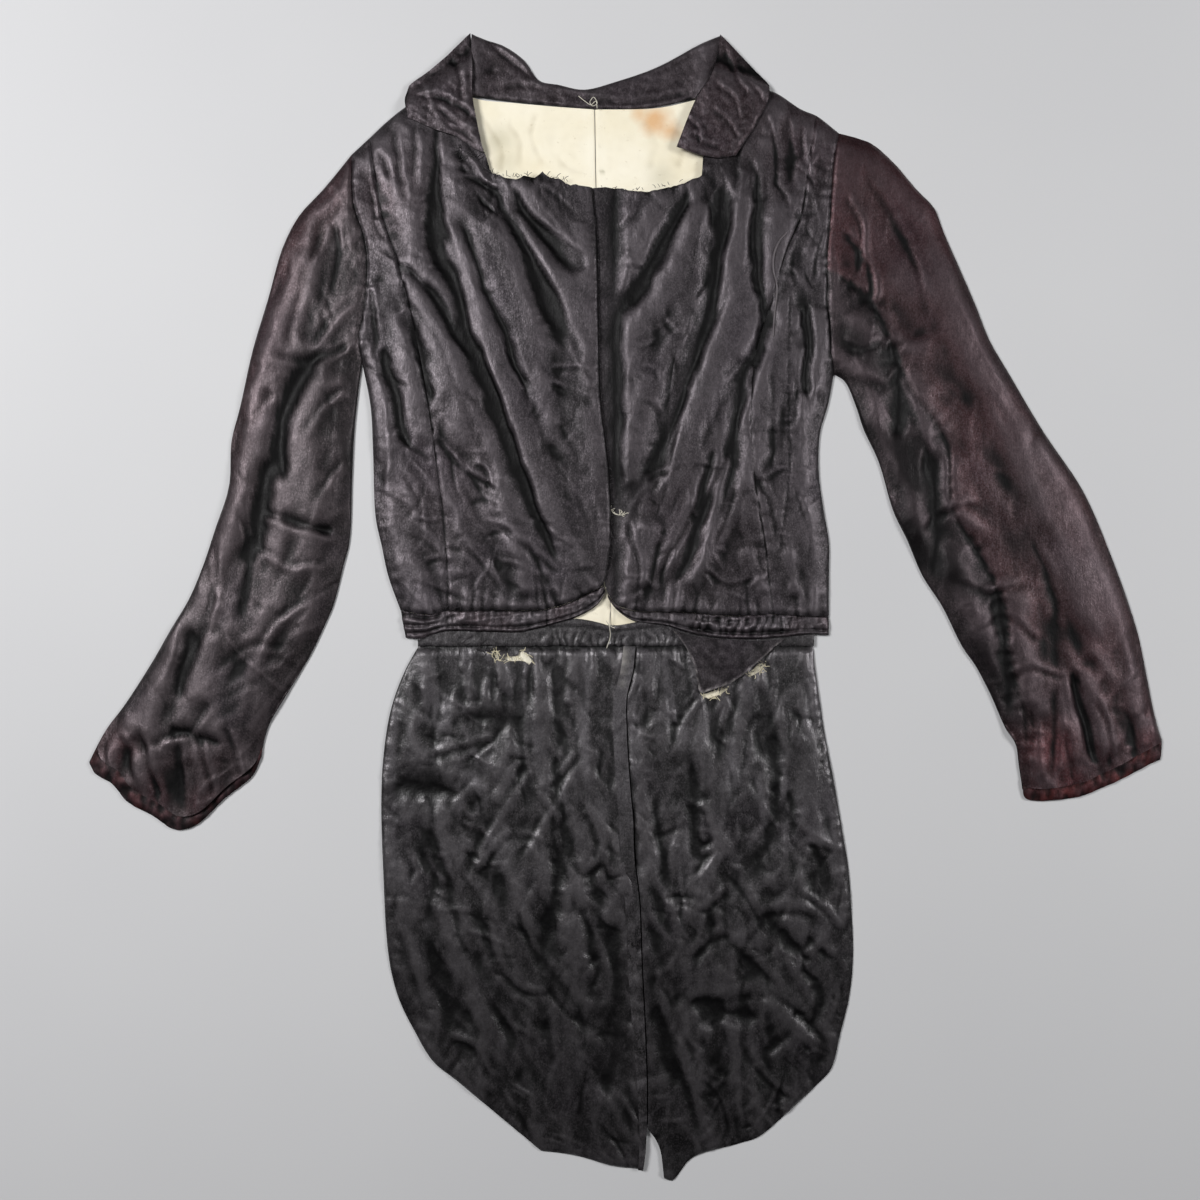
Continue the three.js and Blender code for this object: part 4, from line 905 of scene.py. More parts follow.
def cotton(name):
    """Unbleached cotton: a plain weave, age marks, one rust-coloured stain, and painted shade under the falls
    and in its hollows.
    """
    s = Shader(name)
    colour = s.mix(s.span(s.noise(16.0, 4.0), 0.3, 0.72), linear(*CREAM), linear(*AGED_CREAM))
    colour = s.tint(colour, s.span(s.noise(190.0, 3.0), 0.66, 0.76, 0.0, 0.3), AGE_SPECKS)
    ragged_stain = s.maths("ADD", s.value("stain"), s.span(s.noise(55.0, 4.0), 0.3, 0.7, -0.18, 0.18))
    colour = s.tint(colour, s.span(ragged_stain, 0.15, 0.95, 0.0, 0.85), RUST)
    colour = s.tint(colour, s.part("shade", 0.8), COTTON_SHADE)
    # Painted shade in the cotton's hollows.
    colour = s.tint(colour, s.part("hollow", 0.6), COTTON_HOLLOW_SHADE)
    warp, weft = s.wave(420.0, 0.8, "X"), s.wave(420.0, 0.8, "Y")
    weave = s.bump(s.maths("MULTIPLY", warp, weft), 0.0002, 0.5)
    soft = s.bump(s.noise(60.0, 4.0), 0.0008, 0.4, weave)
    s.fill(s.shader, {"Base Color": colour, "Roughness": 0.88, "Normal": soft, "Specular IOR Level": 0.25,
                      "Sheen Weight": 0.15, "Sheen Roughness": 0.5})
    return s.material


def thread(name, colour, roughness=0.7):
    """Spun thread, uneven in its shade."""
    s = Shader(name)
    shade = s.mix(s.noise(300.0, 2.0), linear(*colour), linear(*(0.75 * c for c in colour)))
    s.fill(s.shader, {"Base Color": shade, "Roughness": roughness, "Sheen Weight": 0.2})
    return s.material


# The four colours, 0 to 255: in the hollows, in the light, worn, and faded. Worn also paints a highlight on the
# ridges; the tails' last is their painted sheen.
BODY_SATIN = satin("satin_body", (28, 25, 27), (54, 50, 53), (94, 88, 92), (84, 52, 59), crisp=0.5)
SLEEVE_RIGHT_SATIN = satin("satin_sleeve_right", (26, 23, 24), (48, 43, 45), (88, 80, 83), (80, 44, 50))
SLEEVE_LEFT_SATIN = satin("satin_sleeve_left", (24, 21, 22), (46, 40, 42), (84, 74, 78), (90, 43, 47))
TAIL_SATIN = satin("satin_tail", (13, 12, 12), (34, 32, 33), (100, 96, 99), (116, 112, 116), roughness=0.34,
                   crisp=0.6, lustre=0.45, shine=0.6)
FADED_SATIN = satin("satin_faded", (24, 17, 19), (42, 30, 33), (72, 50, 54), (112, 42, 38), 0.5)
BACK_SATIN = satin("satin_back", (24, 20, 22), (36, 30, 33), (60, 52, 55), roughness=0.5, crisp=0.2, lustre=0.4)
COTTON = cotton("cotton_lining")
WHITE_THREAD = thread("thread_white", (226, 220, 204))
DARK_THREAD = thread("thread_dark", (38, 32, 36), 0.45)
CREAM_THREAD = thread("thread_cream", (232, 222, 190))
GREY_THREAD = thread("thread_grey", (96, 88, 92), 0.5)

# ---- The upper layer -----------------------------------------------------------------------------------
SHOWN_GAP = 0.06  # between two cloths at a seam, as the thread holds them
GRID = 1.8  # spacing of the cloth's points
CLOTH = 0.8  # thickness of the satin with its lining, as it shows
OUTLINES_RIGHT = [SHOULDER_RIGHT, SIDE_RIGHT, HEM_SIDE_RIGHT, SLEEVE_OUT_RIGHT, SLEEVE_IN_RIGHT]
OUTLINES_LEFT = [SHOULDER_LEFT, SIDE_LEFT, HEM_SIDE_LEFT, SLEEVE_OUT_LEFT, SLEEVE_IN_LEFT]
# The lap at the centre front. The right front rises over the left one across these x, closes across these y
# from the foot up, and rolls down along its edge. The left one is flat up to an x, then eases up.
LAP = dict(rises=(-68, -35), closes=(8, 30), rolls=1.2, roll_width=2.6, flat_to=-10, ease=12)
LAP_UNDER = BODY_LEAST + FRONT_CLOTH + 0.5  # height of the left front's upper side below the lap
LOFT_RISE = -4, 15  # from the outline inwards, where the cloth rises to its loft
DETAIL_EDGE = 9  # folds and creases reach their full height this far from the outline
WALL_EDGE = 3  # and the cloth its full thickness
HIGHEST_DETAIL = 3.5
FALL_CLEARANCE = 1.5, 9


def clear_of_falls(x, y):
    """0 under the collar's falls, 1 away from them."""
    clear = np.ones(x.shape)
    for tables in ((FALL_TOP_RIGHT[::-1], FALL_OUT_RIGHT, FALL_LOW_RIGHT, FALL_FOLD_RIGHT[::-1]),
                   (FALL_TOP_LEFT, FALL_OUT_LEFT, FALL_LOW_LEFT[::-1], FALL_FOLD_LEFT[::-1])):
        outline = np.concatenate([sampled(rows, 12) for rows in tables])
        gap = away_from(tables, x, y)
        clear = np.minimum(clear, np.where(inside(outline, x, y), 0, smooth(gap, *FALL_CLEARANCE)))
    return clear


def eased(detail, lowest, highest):
    """The detail eased off, so that it goes no lower and no higher than this."""
    return np.where(detail < 0, -lowest * np.tanh(-detail / lowest), highest * np.tanh(detail / highest))


def upper_layer(outlines, rows, creases, least, fine):
    """The outer side of the fronts or sleeves: loft, folds, creases, and the edge rolled to the surface."""
    deepest = LOFT + FRONT_CLOTH - (least + CLOTH + 0.1)

    def height(x, y, lift=None):
        away = away_from(outlines, x, y)
        detail = fold_field(rows, x, y) + line_field(creases, x, y) + fine(x, y)
        detail = np.where(detail > 0, detail * clear_of_falls(x, y), detail)
        rolled = eased(detail, deepest, HIGHEST_DETAIL) * round_up(away, DETAIL_EDGE)
        wall = FRONT_CLOTH * (0.55 + 0.45 * round_up(away, WALL_EDGE))
        top = LOFT * smooth(away, *LOFT_RISE) + rolled + wall
        return top if lift is None else lift(x, y, top)

    return height


# Creases by the shoulders and the neck, as the rows above.
UPPER_CREASES = [
    [3, 1.3, 0.9, [[-147, 392], [-151, 366], [-150, 336]]],
    [2.5, 0.9, 0.7, [[-186, 384], [-180, 352], [-176, 318]]],
    [2.5, 0.8, 0.6, [[-168, 396], [-166, 366], [-170, 340]]],
    [2, 0.6, 0.5, [[-200, 366], [-190, 350], [-186, 326]]],
    [2.5, 1.3, 1.0, [[-137, 364], [-124, 352], [-113, 338]]],
    [2.5, 1.2, 1.0, [[-134, 354], [-122, 344], [-108, 334]]],
    [2, 1.0, 0.8, [[-130, 344], [-116, 338], [-100, 330]]],
    [3, 1.3, 1.0, [[88, 352], [86, 326], [80, 296]]],
    [2.5, 1.0, 0.8, [[100, 360], [104, 330], [100, 300]]],
    [2.5, 0.9, 0.7, [[108, 398], [118, 366], [120, 332]]],
    [2.5, 0.8, 0.6, [[126, 396], [132, 366], [130, 334]]],
    [2, 0.7, 0.6, [[140, 386], [142, 356], [150, 330]]],
    [2, 0.6, 0.5, [[116, 344], [128, 322], [126, 300]]],
]


def body_seams(princess, armhole, side, hemline, neckline, centre):
    """The seams of a front, rows as seam_field has them."""
    return [
        [1.0, 1.3, 11, 0.35, 7, princess], [1.5, 1.7, 9, 0.5, 7, armhole], [0.4, 2.0, 11, 0.5, 8, side],
        [1.4, 2.0, 10, 0.9, 15, hemline], [0.3, 1.2, 6, 0.5, 8, neckline], centre,
    ]


SEAMS_RIGHT = body_seams(PRINCESS_RIGHT, ARMHOLE_RIGHT, SIDE_RIGHT, HEMLINE_RIGHT, NECKLINE_RIGHT,
                         [0.2, 1.5, 7, 0.5, 7, CENTRE_RIGHT])
SEAMS_LEFT = body_seams(PRINCESS_LEFT, ARMHOLE_LEFT, SIDE_LEFT, HEMLINE_LEFT, NECKLINE_LEFT,
                        [0.8, 1.2, 6, 0.4, 5, [[130, 246], [129, 180], [130, 116], [127, 83], [123, 50]]])


def front_detail(seams, angle, seed, box, neck_box):
    """The seams and the fine crumples of a front; the longest lie along the angle."""
    def fine(x, y):
        z = seam_field(seams, x, y) + line_field(UPPER_CREASES, x, y)
        z += crumples(x, y, seed + 5, 34, neck_box, -90, 16, (14, 40), (1.2, 2.2), (0.3, 0.8), 0.3)
        z += 1.9 * noise(x, y, 22, seed, 4.0, angle)
        z += 0.35 * noise(x, y, 9, seed + 1, 5.0, angle)
        z += 1.0 * (ridged(x, y, 34, seed + 2, 3.0, angle) - 0.5)
        z += 0.5 * (ridged(x, y, 15, seed + 6, 2.2, angle + 30) - 0.4)
        z += crumples(x, y, seed + 3, 120, box, angle, 34, (16, 60), (1.4, 2.4), (0.35, 1.0), 0.8)
        return z + crumples(x, y, seed + 4, 120, box, angle + 80, 34, (8, 24), (1.2, 1.8), (0.3, 0.8), 0.85)

    return fine


def calmer(x, y):
    """The outer part of the wearer's left sleeve lies smooth, above the elbow most of all."""
    return 1 - 0.6 * smooth(beyond_seam(x, y), 4, 24) * (x > 100) * smooth(y, -60, 20)


def sleeve_detail(seams, angle, seed, box):
    """The seams and the fine crumples of a sleeve; the longest lie along the angle."""
    def fine(x, y):
        calm = calmer(x, y)
        z = seam_field(seams, x, y)
        z += 1.6 * noise(x, y, 26, seed, 3.6, angle)
        z += 0.9 * noise(x, y, 34, seed + 1, 1.5, angle + 60)
        z += 1.2 * (ridged(x, y, 36, seed + 2, 2.6, angle + 14) - 0.5) * calm
        z += 0.6 * (ridged(x, y, 16, seed + 6, 2.2, angle - 24) - 0.4) * calm
        small = crumples(x, y, seed + 3, 110, box, angle, 34, (20, 70), (1.6, 3.0), (0.25, 0.8), 0.5)
        small += crumples(x, y, seed + 4, 110, box, angle + 70, 34, (10, 30), (1.4, 2.2), (0.15, 0.55), 0.6)
        return z + small * calm

    return fine


CUFF_GATHERS_RIGHT = [
    [3, 1.2, 0.9, [[-404, -98], [-396, -120], [-392, -142]]],
    [3, 1.5, 1.0, [[-388, -92], [-380, -124], [-372, -158]]],
    [3, 1.1, 0.9, [[-360, -88], [-356, -120], [-352, -162]]],
    [2.5, 1.0, 0.8, [[-340, -98], [-334, -128], [-330, -152]]],
    [2.5, 0.9, 0.8, [[-318, -94], [-310, -118], [-306, -136]]],
    [2.5, 0.8, 0.7, [[-416, -104], [-414, -120], [-406, -136]]],
    [3, 1.0, 0.8, [[-330, -72], [-346, -96], [-374, -104]]],
]
CUFF_GATHERS_LEFT = [
    [3, 1.4, 1.0, [[338, -64], [340, -100], [336, -142]]],
    [3, 1.5, 1.1, [[354, -52], [364, -92], [374, -126]]],
    [2.5, 1.0, 0.9, [[372, -70], [382, -100], [386, -130]]],
    [2.5, 1.0, 0.9, [[396, -80], [404, -104], [406, -122]]],
    [2.5, 0.9, 0.8, [[322, -76], [324, -104], [326, -140]]],
    [2.5, 0.8, 0.7, [[412, -80], [416, -100], [418, -116]]],
    [2.5, 0.8, 0.7, [[346, -90], [352, -118], [354, -140]]],
]
INNER_SEAM_LEFT = [
    [172, 262], [190, 248], [204, 226], [226, 174], [255, 130], [259, 80], [284, 36], [299, 3], [304, -36],
    [317, -87], [320, -145],
]
SLEEVE_CREASES_RIGHT = [
    [3.5, 1.0, 0.8, [[-226, 330], [-246, 292], [-262, 240], [-270, 200]]],
    [3, 0.9, 0.8, [[-214, 250], [-232, 232], [-252, 206]]],
    [3, 1.0, 0.9, [[-216, 214], [-236, 200], [-262, 196], [-284, 206]]],
    [3, 0.9, 0.9, [[-222, 180], [-244, 160], [-260, 130]]],
    [3, 0.8, 0.7, [[-224, 120], [-242, 96], [-256, 60]]],
    [3, 1.1, 0.9, [[-230, 60], [-262, 66], [-296, 80]]],
    [3, 0.6, 0.5, [[-236, 40], [-264, 36], [-300, 52]]],
    [3, 0.9, 0.7, [[-310, 90], [-300, 40], [-308, -10]]],
    [3, 0.8, 0.8, [[-250, 10], [-280, -10], [-300, -50]]],
    [3, 0.8, 0.7, [[-326, 50], [-330, 0], [-346, -40]]],
    [3, 0.5, 0.4, [[-268, -30], [-300, -30], [-330, -52]]],
    [3, 0.4, 0.3, [[-290, -60], [-314, -66], [-338, -90]]],
    [2.5, 0.7, 0.6, [[-236, 316], [-228, 280], [-236, 250]]],
]
SLEEVE_CREASES_LEFT = [
    [3.5, 0.7, 0.6, [[186, 350], [216, 300], [240, 240]]],
    [3, 1.0, 0.9, [[172, 330], [186, 300], [182, 262]]],
    [3, 1.0, 0.9, [[170, 300], [190, 276], [196, 240]]],
    [3, 1.0, 0.9, [[168, 214], [186, 204], [206, 212]]],
    [3, 0.9, 0.8, [[180, 184], [204, 176], [226, 190]]],
    [3, 0.8, 0.7, [[220, 170], [236, 130], [240, 90]]],
    [3, 0.8, 0.7, [[236, 60], [252, 74], [282, 82]]],
    [3, 0.7, 0.6, [[262, 20], [288, 10], [318, 20]]],
    [3, 0.8, 0.7, [[276, -20], [304, -10], [330, -30]]],
    [3, 0.7, 0.6, [[300, -60], [324, -50], [350, -60]]],
    [3, 0.6, 0.5, [[320, 60], [336, 20], [344, -20]]],
    [3, 0.6, 0.5, [[280, 180], [300, 150], [320, 100]]],
    [3, 0.5, 0.5, [[250, 250], [270, 220], [296, 170]]],
]

front_right_height = upper_layer(
    OUTLINES_RIGHT, FOLDS_RIGHT, CREASES_FRONT_RIGHT + CREASES_SIDES, BODY_LEAST,
    front_detail(SEAMS_RIGHT, -66, 20, box=(-210, -10, 0, 410), neck_box=(-114, -34, 318, 346)))
front_left_height = upper_layer(
    OUTLINES_LEFT, FOLDS_LEFT, CREASES_FRONT_LEFT + CREASES_SIDES, BODY_LEAST,
    front_detail(SEAMS_LEFT, -112, 40, box=(-30, 170, 0, 410), neck_box=(-22, 64, 322, 348)))
sleeve_right_height = upper_layer(
    OUTLINES_RIGHT, SLEEVE_FOLDS, SLEEVE_CREASES_RIGHT + CUFF_GATHERS_RIGHT, SLEEVE_LEAST,
    sleeve_detail(SEAMS_RIGHT[1:2], -104, 60, box=(-430, -210, -170, 370)))
sleeve_left_height = upper_layer(
    OUTLINES_LEFT, SLEEVE_FOLDS, SLEEVE_CREASES_LEFT + CUFF_GATHERS_LEFT, SLEEVE_LEAST,
    sleeve_detail(SEAMS_LEFT[1:2] + [[1.6, 2.2, 12, 0.5, 8, INNER_SEAM_LEFT]], -66, 80,
                  box=(160, 430, -150, 380)))


def lapped(x, y, top):
    """The wearer's right front, raised where it laps over the left."""
    near = smooth(x, *LAP["rises"]) * smooth(y, *LAP["closes"])
    turned = LAP["rolls"] * smooth(distance(CENTRE_RIGHT, x, y), LAP["roll_width"], 0)
    short = LAP_UNDER + CLOTH + 1.1 - top
    raised = 0.5 * (short + np.sqrt(short**2 + 1.2))
    return top + near * (raised - turned)


def tucked(x, y, top):
    """The wearer's left front, flat where the right one covers it."""
    share = 1 - smooth(x, LAP["flat_to"], LAP["flat_to"] + LAP["ease"])
    return top + (BODY_LEAST + CLOTH + 0.3 - top) * share


def spots(rows, x, y):
    """Soft patches: rows of x, y, radius and strength."""
    total = np.zeros(x.shape)
    for cx, cy, radius, strength in rows:
        total = np.maximum(total, strength * np.exp(-((x - cx) ** 2 + (y - cy) ** 2) / radius**2))
    return np.clip(total, 0, 1)


def add_upper(name, grid, height, material, fade, lift=None):
    """A front or an upper sleeve on a grid of points, faded where this function says."""
    draw_in(grid, SHOWN_GAP / 2)
    x, y = grid[..., 0], grid[..., 1]
    away = away_from(OUTLINES_RIGHT + OUTLINES_LEFT, x, y)
    # Painted shade at the listed places and on the sleeves' inner sides.
    deep = np.maximum(spots(PAINTED_SHADE_PLACES, x, y), sleeve_shade(x, y))
    shell(name, grid, height(x, y, lift), CLOTH, material, {"fade": fade(x, y), "deep": deep},
          folded=smooth(away, 0, 4), open_rim=smooth(away, 2, 13))


def beyond_seam(x, y):
    """How far outside the seam of the wearer's left sleeve a point lies, below 0 on its inner side."""
    away, _, side = nearest(sampled(INNER_SEAM_LEFT), x, y)
    return away * side


def sleeve_shade(x, y):
    """Darkening on the inner side of each sleeve: painted shade by the right one's inner edge, and on the left
    one, inside its seam, partly the black of that part and partly painted shade.
    """
    right = distance(SLEEVE_IN_RIGHT, x, y)
    patchy = 0.5 + 1.3 * noise(x, y, 24, 92, 2.4, -62)
    dark_left = (1 - smooth(beyond_seam(x, y), -12, 2)) * (x > 168) * smooth(y, -130, -70)
    dark_left = dark_left * (1 - smooth(y, 205, 262))
    dark_right = 0.9 * (1 - smooth(right, 4, 22)) * (x < -214) * smooth(y, 30, 120)
    return np.clip(0.95 * np.maximum(dark_left, dark_right) * patchy, 0, 0.95)


# Painted shade in the folds of the fronts and sleeves and along the lap at the centre front: x, y, radius and
# strength.
PAINTED_SHADE_PLACES = [
    [-11, 215, 9, 0.9], [-8, 180, 10, 1.0], [-9, 145, 10, 1.0], [-6, 110, 12, 1.0], [4, 96, 14, 0.9],
    [16, 104, 14, 0.8], [-2, 80, 12, 0.8], [30, 122, 12, 0.7], [-12, 250, 8, 0.7], [-10, 40, 8, 0.6],
    [-149, 330, 10, 0.7], [-147, 300, 9, 0.7], [-140, 270, 8, 0.6], [86, 350, 10, 0.7], [80, 320, 9, 0.6],
    [143, 240, 7, 0.8], [143, 210, 8, 0.9], [142, 180, 7, 0.8], [-100, 350, 12, 0.5], [110, 300, 10, 0.5],
    [-245, 190, 16, 0.6], [-240, 150, 16, 0.6], [-285, 110, 14, 0.6], [-295, 70, 12, 0.5], [209, 206, 10, 0.7],
    [216, 168, 10, 0.7], [196, 236, 12, 0.5], [294, 0, 10, 0.6], [298, -40, 10, 0.7], [306, -84, 9, 0.6],
    [-346, -40, 12, 0.5], [-300, -60, 14, 0.5], [-175, 120, 12, 0.4], [-170, 60, 12, 0.4], [60, 20, 12, 0.5],
    [78, 80, 12, 0.5], [70, 110, 12, 0.5], [100, 340, 12, 0.4], [-190, 240, 12, 0.4], [-84, 200, 12, 0.3],
]


# Faded places, as rows of x, y, radius and strength.
BODY_FADED = [[-190, 330, 40, 0.16], [-150, 100, 60, 0.08], [150, 380, 50, 0.3], [60, 60, 60, 0.08]]
CUFF_RUST_RIGHT = [[-404, -112, 20, 0.55], [-374, -146, 20, 0.6], [-344, -154, 16, 0.5]]
CUFF_RUST_LEFT = [[340, -112, 25, 1.0], [352, -136, 16, 0.9], [414, -104, 13, 0.8]]


def body_fade(x, y):
    """The fronts have faded at the shoulders most of all."""
    return spots(BODY_FADED, x, y)


RAGGED_ROWS = 24
RAGGED_ENDS = 6


def ragged(grid, start, stop, amount, seed):
    """A torn upper edge between two x, drawn up and down and eased out over the rows below it."""
    ease = np.linspace(1, 0, RAGGED_ROWS)[:, None] ** 1.5
    x = grid[0, :, 0]
    share = smooth(x, start, start + RAGGED_ENDS) * (1 - smooth(x, stop - RAGGED_ENDS, stop))
    pull = amount * share * (noise(x, 0 * x, 7, seed) + 0.5 * noise(x, 0 * x, 2.6, seed + 1))
    grid[:RAGGED_ROWS, :, 1] += ease * pull


def add_fronts():
    us, side_us, vs = even(200, GRID), even(60, GRID), even(420, GRID)
    neck_right, _, _ = between(
        edge([[-205, 375], [-190, 389], [-173, 402], [-155, 410], [-137, 416]], NECK_RIGHT, NECKLINE_RIGHT),
        edge(HEMLINE_RIGHT[2:]), edge(PRINCESS_RIGHT), edge(CENTRE_RIGHT), us, vs)
    ragged(neck_right, -112, -36, 2.4, 180)
    neck_left, _, _ = between(
        edge(NECKLINE_LEFT, NECK_LEFT, [[87, 414], [103, 415], [118, 412], [140, 398], [152, 393]]),
        edge(HEMLINE_LEFT[:-1]), edge(CENTRE_LEFT), edge(PRINCESS_LEFT), us, vs)
    ragged(neck_left, -20, 62, 0.9, 184)
    side_right, _, _ = between(
        edge([[-219, 362], [-205, 375]]), edge(HEMLINE_RIGHT[:3]), edge(ARMHOLE_RIGHT, SIDE_RIGHT),
        edge(PRINCESS_RIGHT), side_us, vs)
    side_left, _, _ = between(
        edge([[152, 393], [170, 379]]), edge(HEMLINE_LEFT[-2:]), edge(PRINCESS_LEFT),
        edge(ARMHOLE_LEFT, SIDE_LEFT), side_us, vs)
    for name, grid, height, lift in (
            ("satin_front_right", neck_right, front_right_height, lapped),
            ("satin_front_left", neck_left, front_left_height, tucked),
            ("satin_side_front_right", side_right, front_right_height, None),
            ("satin_side_front_left", side_left, front_left_height, None)):
        add_upper(name, grid, height, BODY_SATIN, body_fade, lift)


def fade_right(x, y):
    """The wearer's right sleeve has faded at the cuff and, above it, along its outer edge."""
    cuff = 0.5 * smooth(-y, 80, 170) * (0.6 + 0.5 * noise(x, y, 22, 90))
    cuff = np.maximum(cuff, spots(CUFF_RUST_RIGHT, x, y))
    outer = 0.45 * (1 - smooth(distance(SLEEVE_OUT_RIGHT, x, y), 6, 40))
    return np.clip(np.maximum(cuff, outer * smooth(y, -60, 300)), 0, 1)


def fade_left(x, y):
    """The outer part of the sleeve has faded to plum; the part inside the seam stayed black."""
    outer = smooth(beyond_seam(x, y), -3, 5)
    maroon = 0.26 + 0.16 * noise(x, y, 60, 91) + 0.25 * smooth(y, 220, 330)
    cuff = 0.5 * smooth(-y, 70, 120) * (0.75 + 0.4 * noise(x, y, 18, 92))
    cuff = np.maximum(cuff, spots(CUFF_RUST_LEFT, x, y))
    return np.clip(np.maximum(maroon * outer, cuff), 0, 1)


SLEEVE_EDGES_RIGHT = edge(ARMHOLE_RIGHT), edge(CUFF_RIGHT), edge(SLEEVE_OUT_RIGHT), edge(SLEEVE_IN_RIGHT)
SLEEVE_EDGES_LEFT = edge(ARMHOLE_LEFT[::-1]), edge(CUFF_LEFT), edge(SLEEVE_IN_LEFT), edge(SLEEVE_OUT_LEFT)


def add_sleeves():
    for side, edges, length, height, material, fade in (
            ("right", SLEEVE_EDGES_RIGHT, 555, sleeve_right_height, SLEEVE_RIGHT_SATIN, fade_right),
            ("left", SLEEVE_EDGES_LEFT, 575, sleeve_left_height, SLEEVE_LEFT_SATIN, fade_left)):
        grid, _, _ = between(*edges, even(112, GRID), even(length * CUFF_STRIP, GRID) * CUFF_STRIP)
        add_upper(f"satin_upper_sleeve_{side}", grid, height, material, fade)


# ---- Cuff facings --------------------------------------------------------------------------------------
def add_cuff_facings():
    strip = np.linspace(CUFF_STRIP, 1, 12)
    v = np.linspace(0, 1, len(strip))[:, None]
    for side, outlines, edges, faded in (("right", OUTLINES_RIGHT, SLEEVE_EDGES_RIGHT, 0.0),
                                         ("left", OUTLINES_LEFT, SLEEVE_EDGES_LEFT, 0.4)):
        grid, x, y = between(*edges, even(150, 1.4), strip, SEAM_GAP / 2)
        up = round_up(away_from(outlines, x, y), EDGE_RADIUS)
        top = np.minimum(SLEEVE_LEAST, LOFT * up) + FACING_CLOTH + 0.35 * np.sin(math.pi * v)
        gathers = noise(x, y, 5, 110, 1.6, 80)
        top = np.maximum(top + 0.7 * gathers + 0.5 * noise(x, y, 9, 112) - 0.5 * v**3, 0.7)
        fade = np.clip(faded + 0.6 * noise(x, y, 12, 111), 0, 1)
        # Painted shade, deepest in the troughs of the gathers.
        shell(f"satin_cuff_facing_{side}", grid, top, 0.6, FADED_SATIN,
              {"fade": fade, "deep": np.clip(0.3 - 1.1 * gathers, 0, 0.75)})


# ---- Backs, their lining and the under sleeves ---------------------------------------------------------
HIDDEN_INSET = 3.2
HIDDEN_GRID = 5


def add_hidden_panel(name, edges, width, length, material, seed):
    """A cloth under the others: level where it rests, with shallow waves on its other side."""
    grid, x, y = between(*edges, even(width, HIDDEN_GRID), even(length, HIDDEN_GRID), HIDDEN_INSET)
    wave = 0.15 * (0.5 * noise(x, y, 24, seed, 2.4, 80) + 0.5 * noise(x, y, 9, seed + 1))
    shell(name, grid, BACK_CLOTH - abs(wave), 0.7 * BACK_CLOTH, material, {"fade": np.zeros(x.shape)},
          floor=0)


def add_backs():
    right = (edge(SHOULDER_RIGHT[::-1], BACK_NECK_RIGHT), edge([[-178, BACK_WAIST], [-12, BACK_WAIST]]),
             edge(ARMHOLE_RIGHT, SIDE_RIGHT, HEM_SIDE_RIGHT[:2]), edge(CENTRE_BACK))
    left = (edge(BACK_NECK_LEFT, SHOULDER_LEFT), edge([[-12, BACK_WAIST], [162, BACK_WAIST]]),
            edge(CENTRE_BACK), edge(ARMHOLE_LEFT, SIDE_LEFT, HEM_SIDE_LEFT[:2]))
    for side, edges in (("right", right), ("left", left)):
        add_hidden_panel(f"satin_back_{side}", edges, 180, 400, BACK_SATIN, 120)


def add_under_sleeves():
    for side, edges, material in (("right", SLEEVE_EDGES_RIGHT, SLEEVE_RIGHT_SATIN),
                                  ("left", SLEEVE_EDGES_LEFT, SLEEVE_LEFT_SATIN)):
        add_hidden_panel(f"satin_under_sleeve_{side}", edges, 100, 540, material, 130)


LINING_CREASES = [
    [3.5, 0.35, 0.4, [[-118, 392], [-106, 380], [-98, 362], [-101, 344]]],
    [3, 0.3, 0.35, [[-96, 388], [-84, 372], [-86, 350]]],
    [3, 0.3, 0.3, [[-70, 396], [-76, 376], [-66, 352]]],
    [4, 0.3, 0.3, [[12, 392], [22, 372], [20, 346]]],
    [3, 0.35, 0.35, [[40, 384], [44, 366], [40, 348]]],
    [3, 0.25, 0.3, [[-56, 360], [-46, 350], [-30, 346]]],
]


RUST_STAIN = [[24, 388, 13, 1.0], [35, 382, 10, 0.8], [12, 394, 9, 0.6]]
LINING_SHADE = [[-103, 372, 12, 0.55], [-99, 356, 12, 0.4], [28, 344, 10, 0.4]]
LINING_DOTS = [[-19, 348, 1.6, 1.0], [-21.6, 369, 0.8, 1.0]]
LINING_FOOT = -8  # below this y the lining stays under the waistband
LINING_FOOT_TOP = 2.1
LINING_LEAST = 1.8


def lining_values(x, y):
    """The rust stain below the neck, the shade of the falls on the cotton, and two small dots."""
    shade = np.maximum(spots(LINING_SHADE, x, y), spots(LINING_DOTS, x, y))
    return {"stain": spots(RUST_STAIN, x, y), "shade": shade}


def add_linings():
    right = (edge(BACK_NECK_RIGHT), edge([[-170, BACK_WAIST], [-12, BACK_WAIST]]),
             edge([[-137, 416], [-200, 340], [-202, 200], [-194, 100], [-170, BACK_WAIST]]), edge(CENTRE_BACK))
    left = (edge(BACK_NECK_LEFT), edge([[-12, BACK_WAIST], [152, BACK_WAIST]]), edge(CENTRE_BACK),
            edge([[87, 414], [150, 350], [154, 200], [146, 100], [152, BACK_WAIST]]))
    for side, edges in (("right", right), ("left", left)):
        grid, x, y = between(*edges, even(170, 2.2), finer_at_top(410, 76, 2.0, 7), SEAM_GAP)
        seam = distance(CENTRE_BACK, x, y)
        wave = 0.18 * noise(x, y, 20, 140, 2.0, 70) + 0.1 * noise(x, y, 7, 141)
        wave = wave + 0.8 * line_field(LINING_CREASES, x, y)
        top = LINING_TOP - 0.25 + wave - 0.35 * bell(seam, 0.9)
        top = top + 0.2 * bell(seam - 2.6, 1.4)
        top = np.where(y < LINING_FOOT, np.minimum(top, LINING_FOOT_TOP), top)
        shell(f"cotton_back_lining_{side}", grid, np.clip(top, LINING_LEAST, LINING_TOP + 0.5), 0.6, COTTON,
              lining_values(x, y), floor=BACK_CLOTH + 0.2)


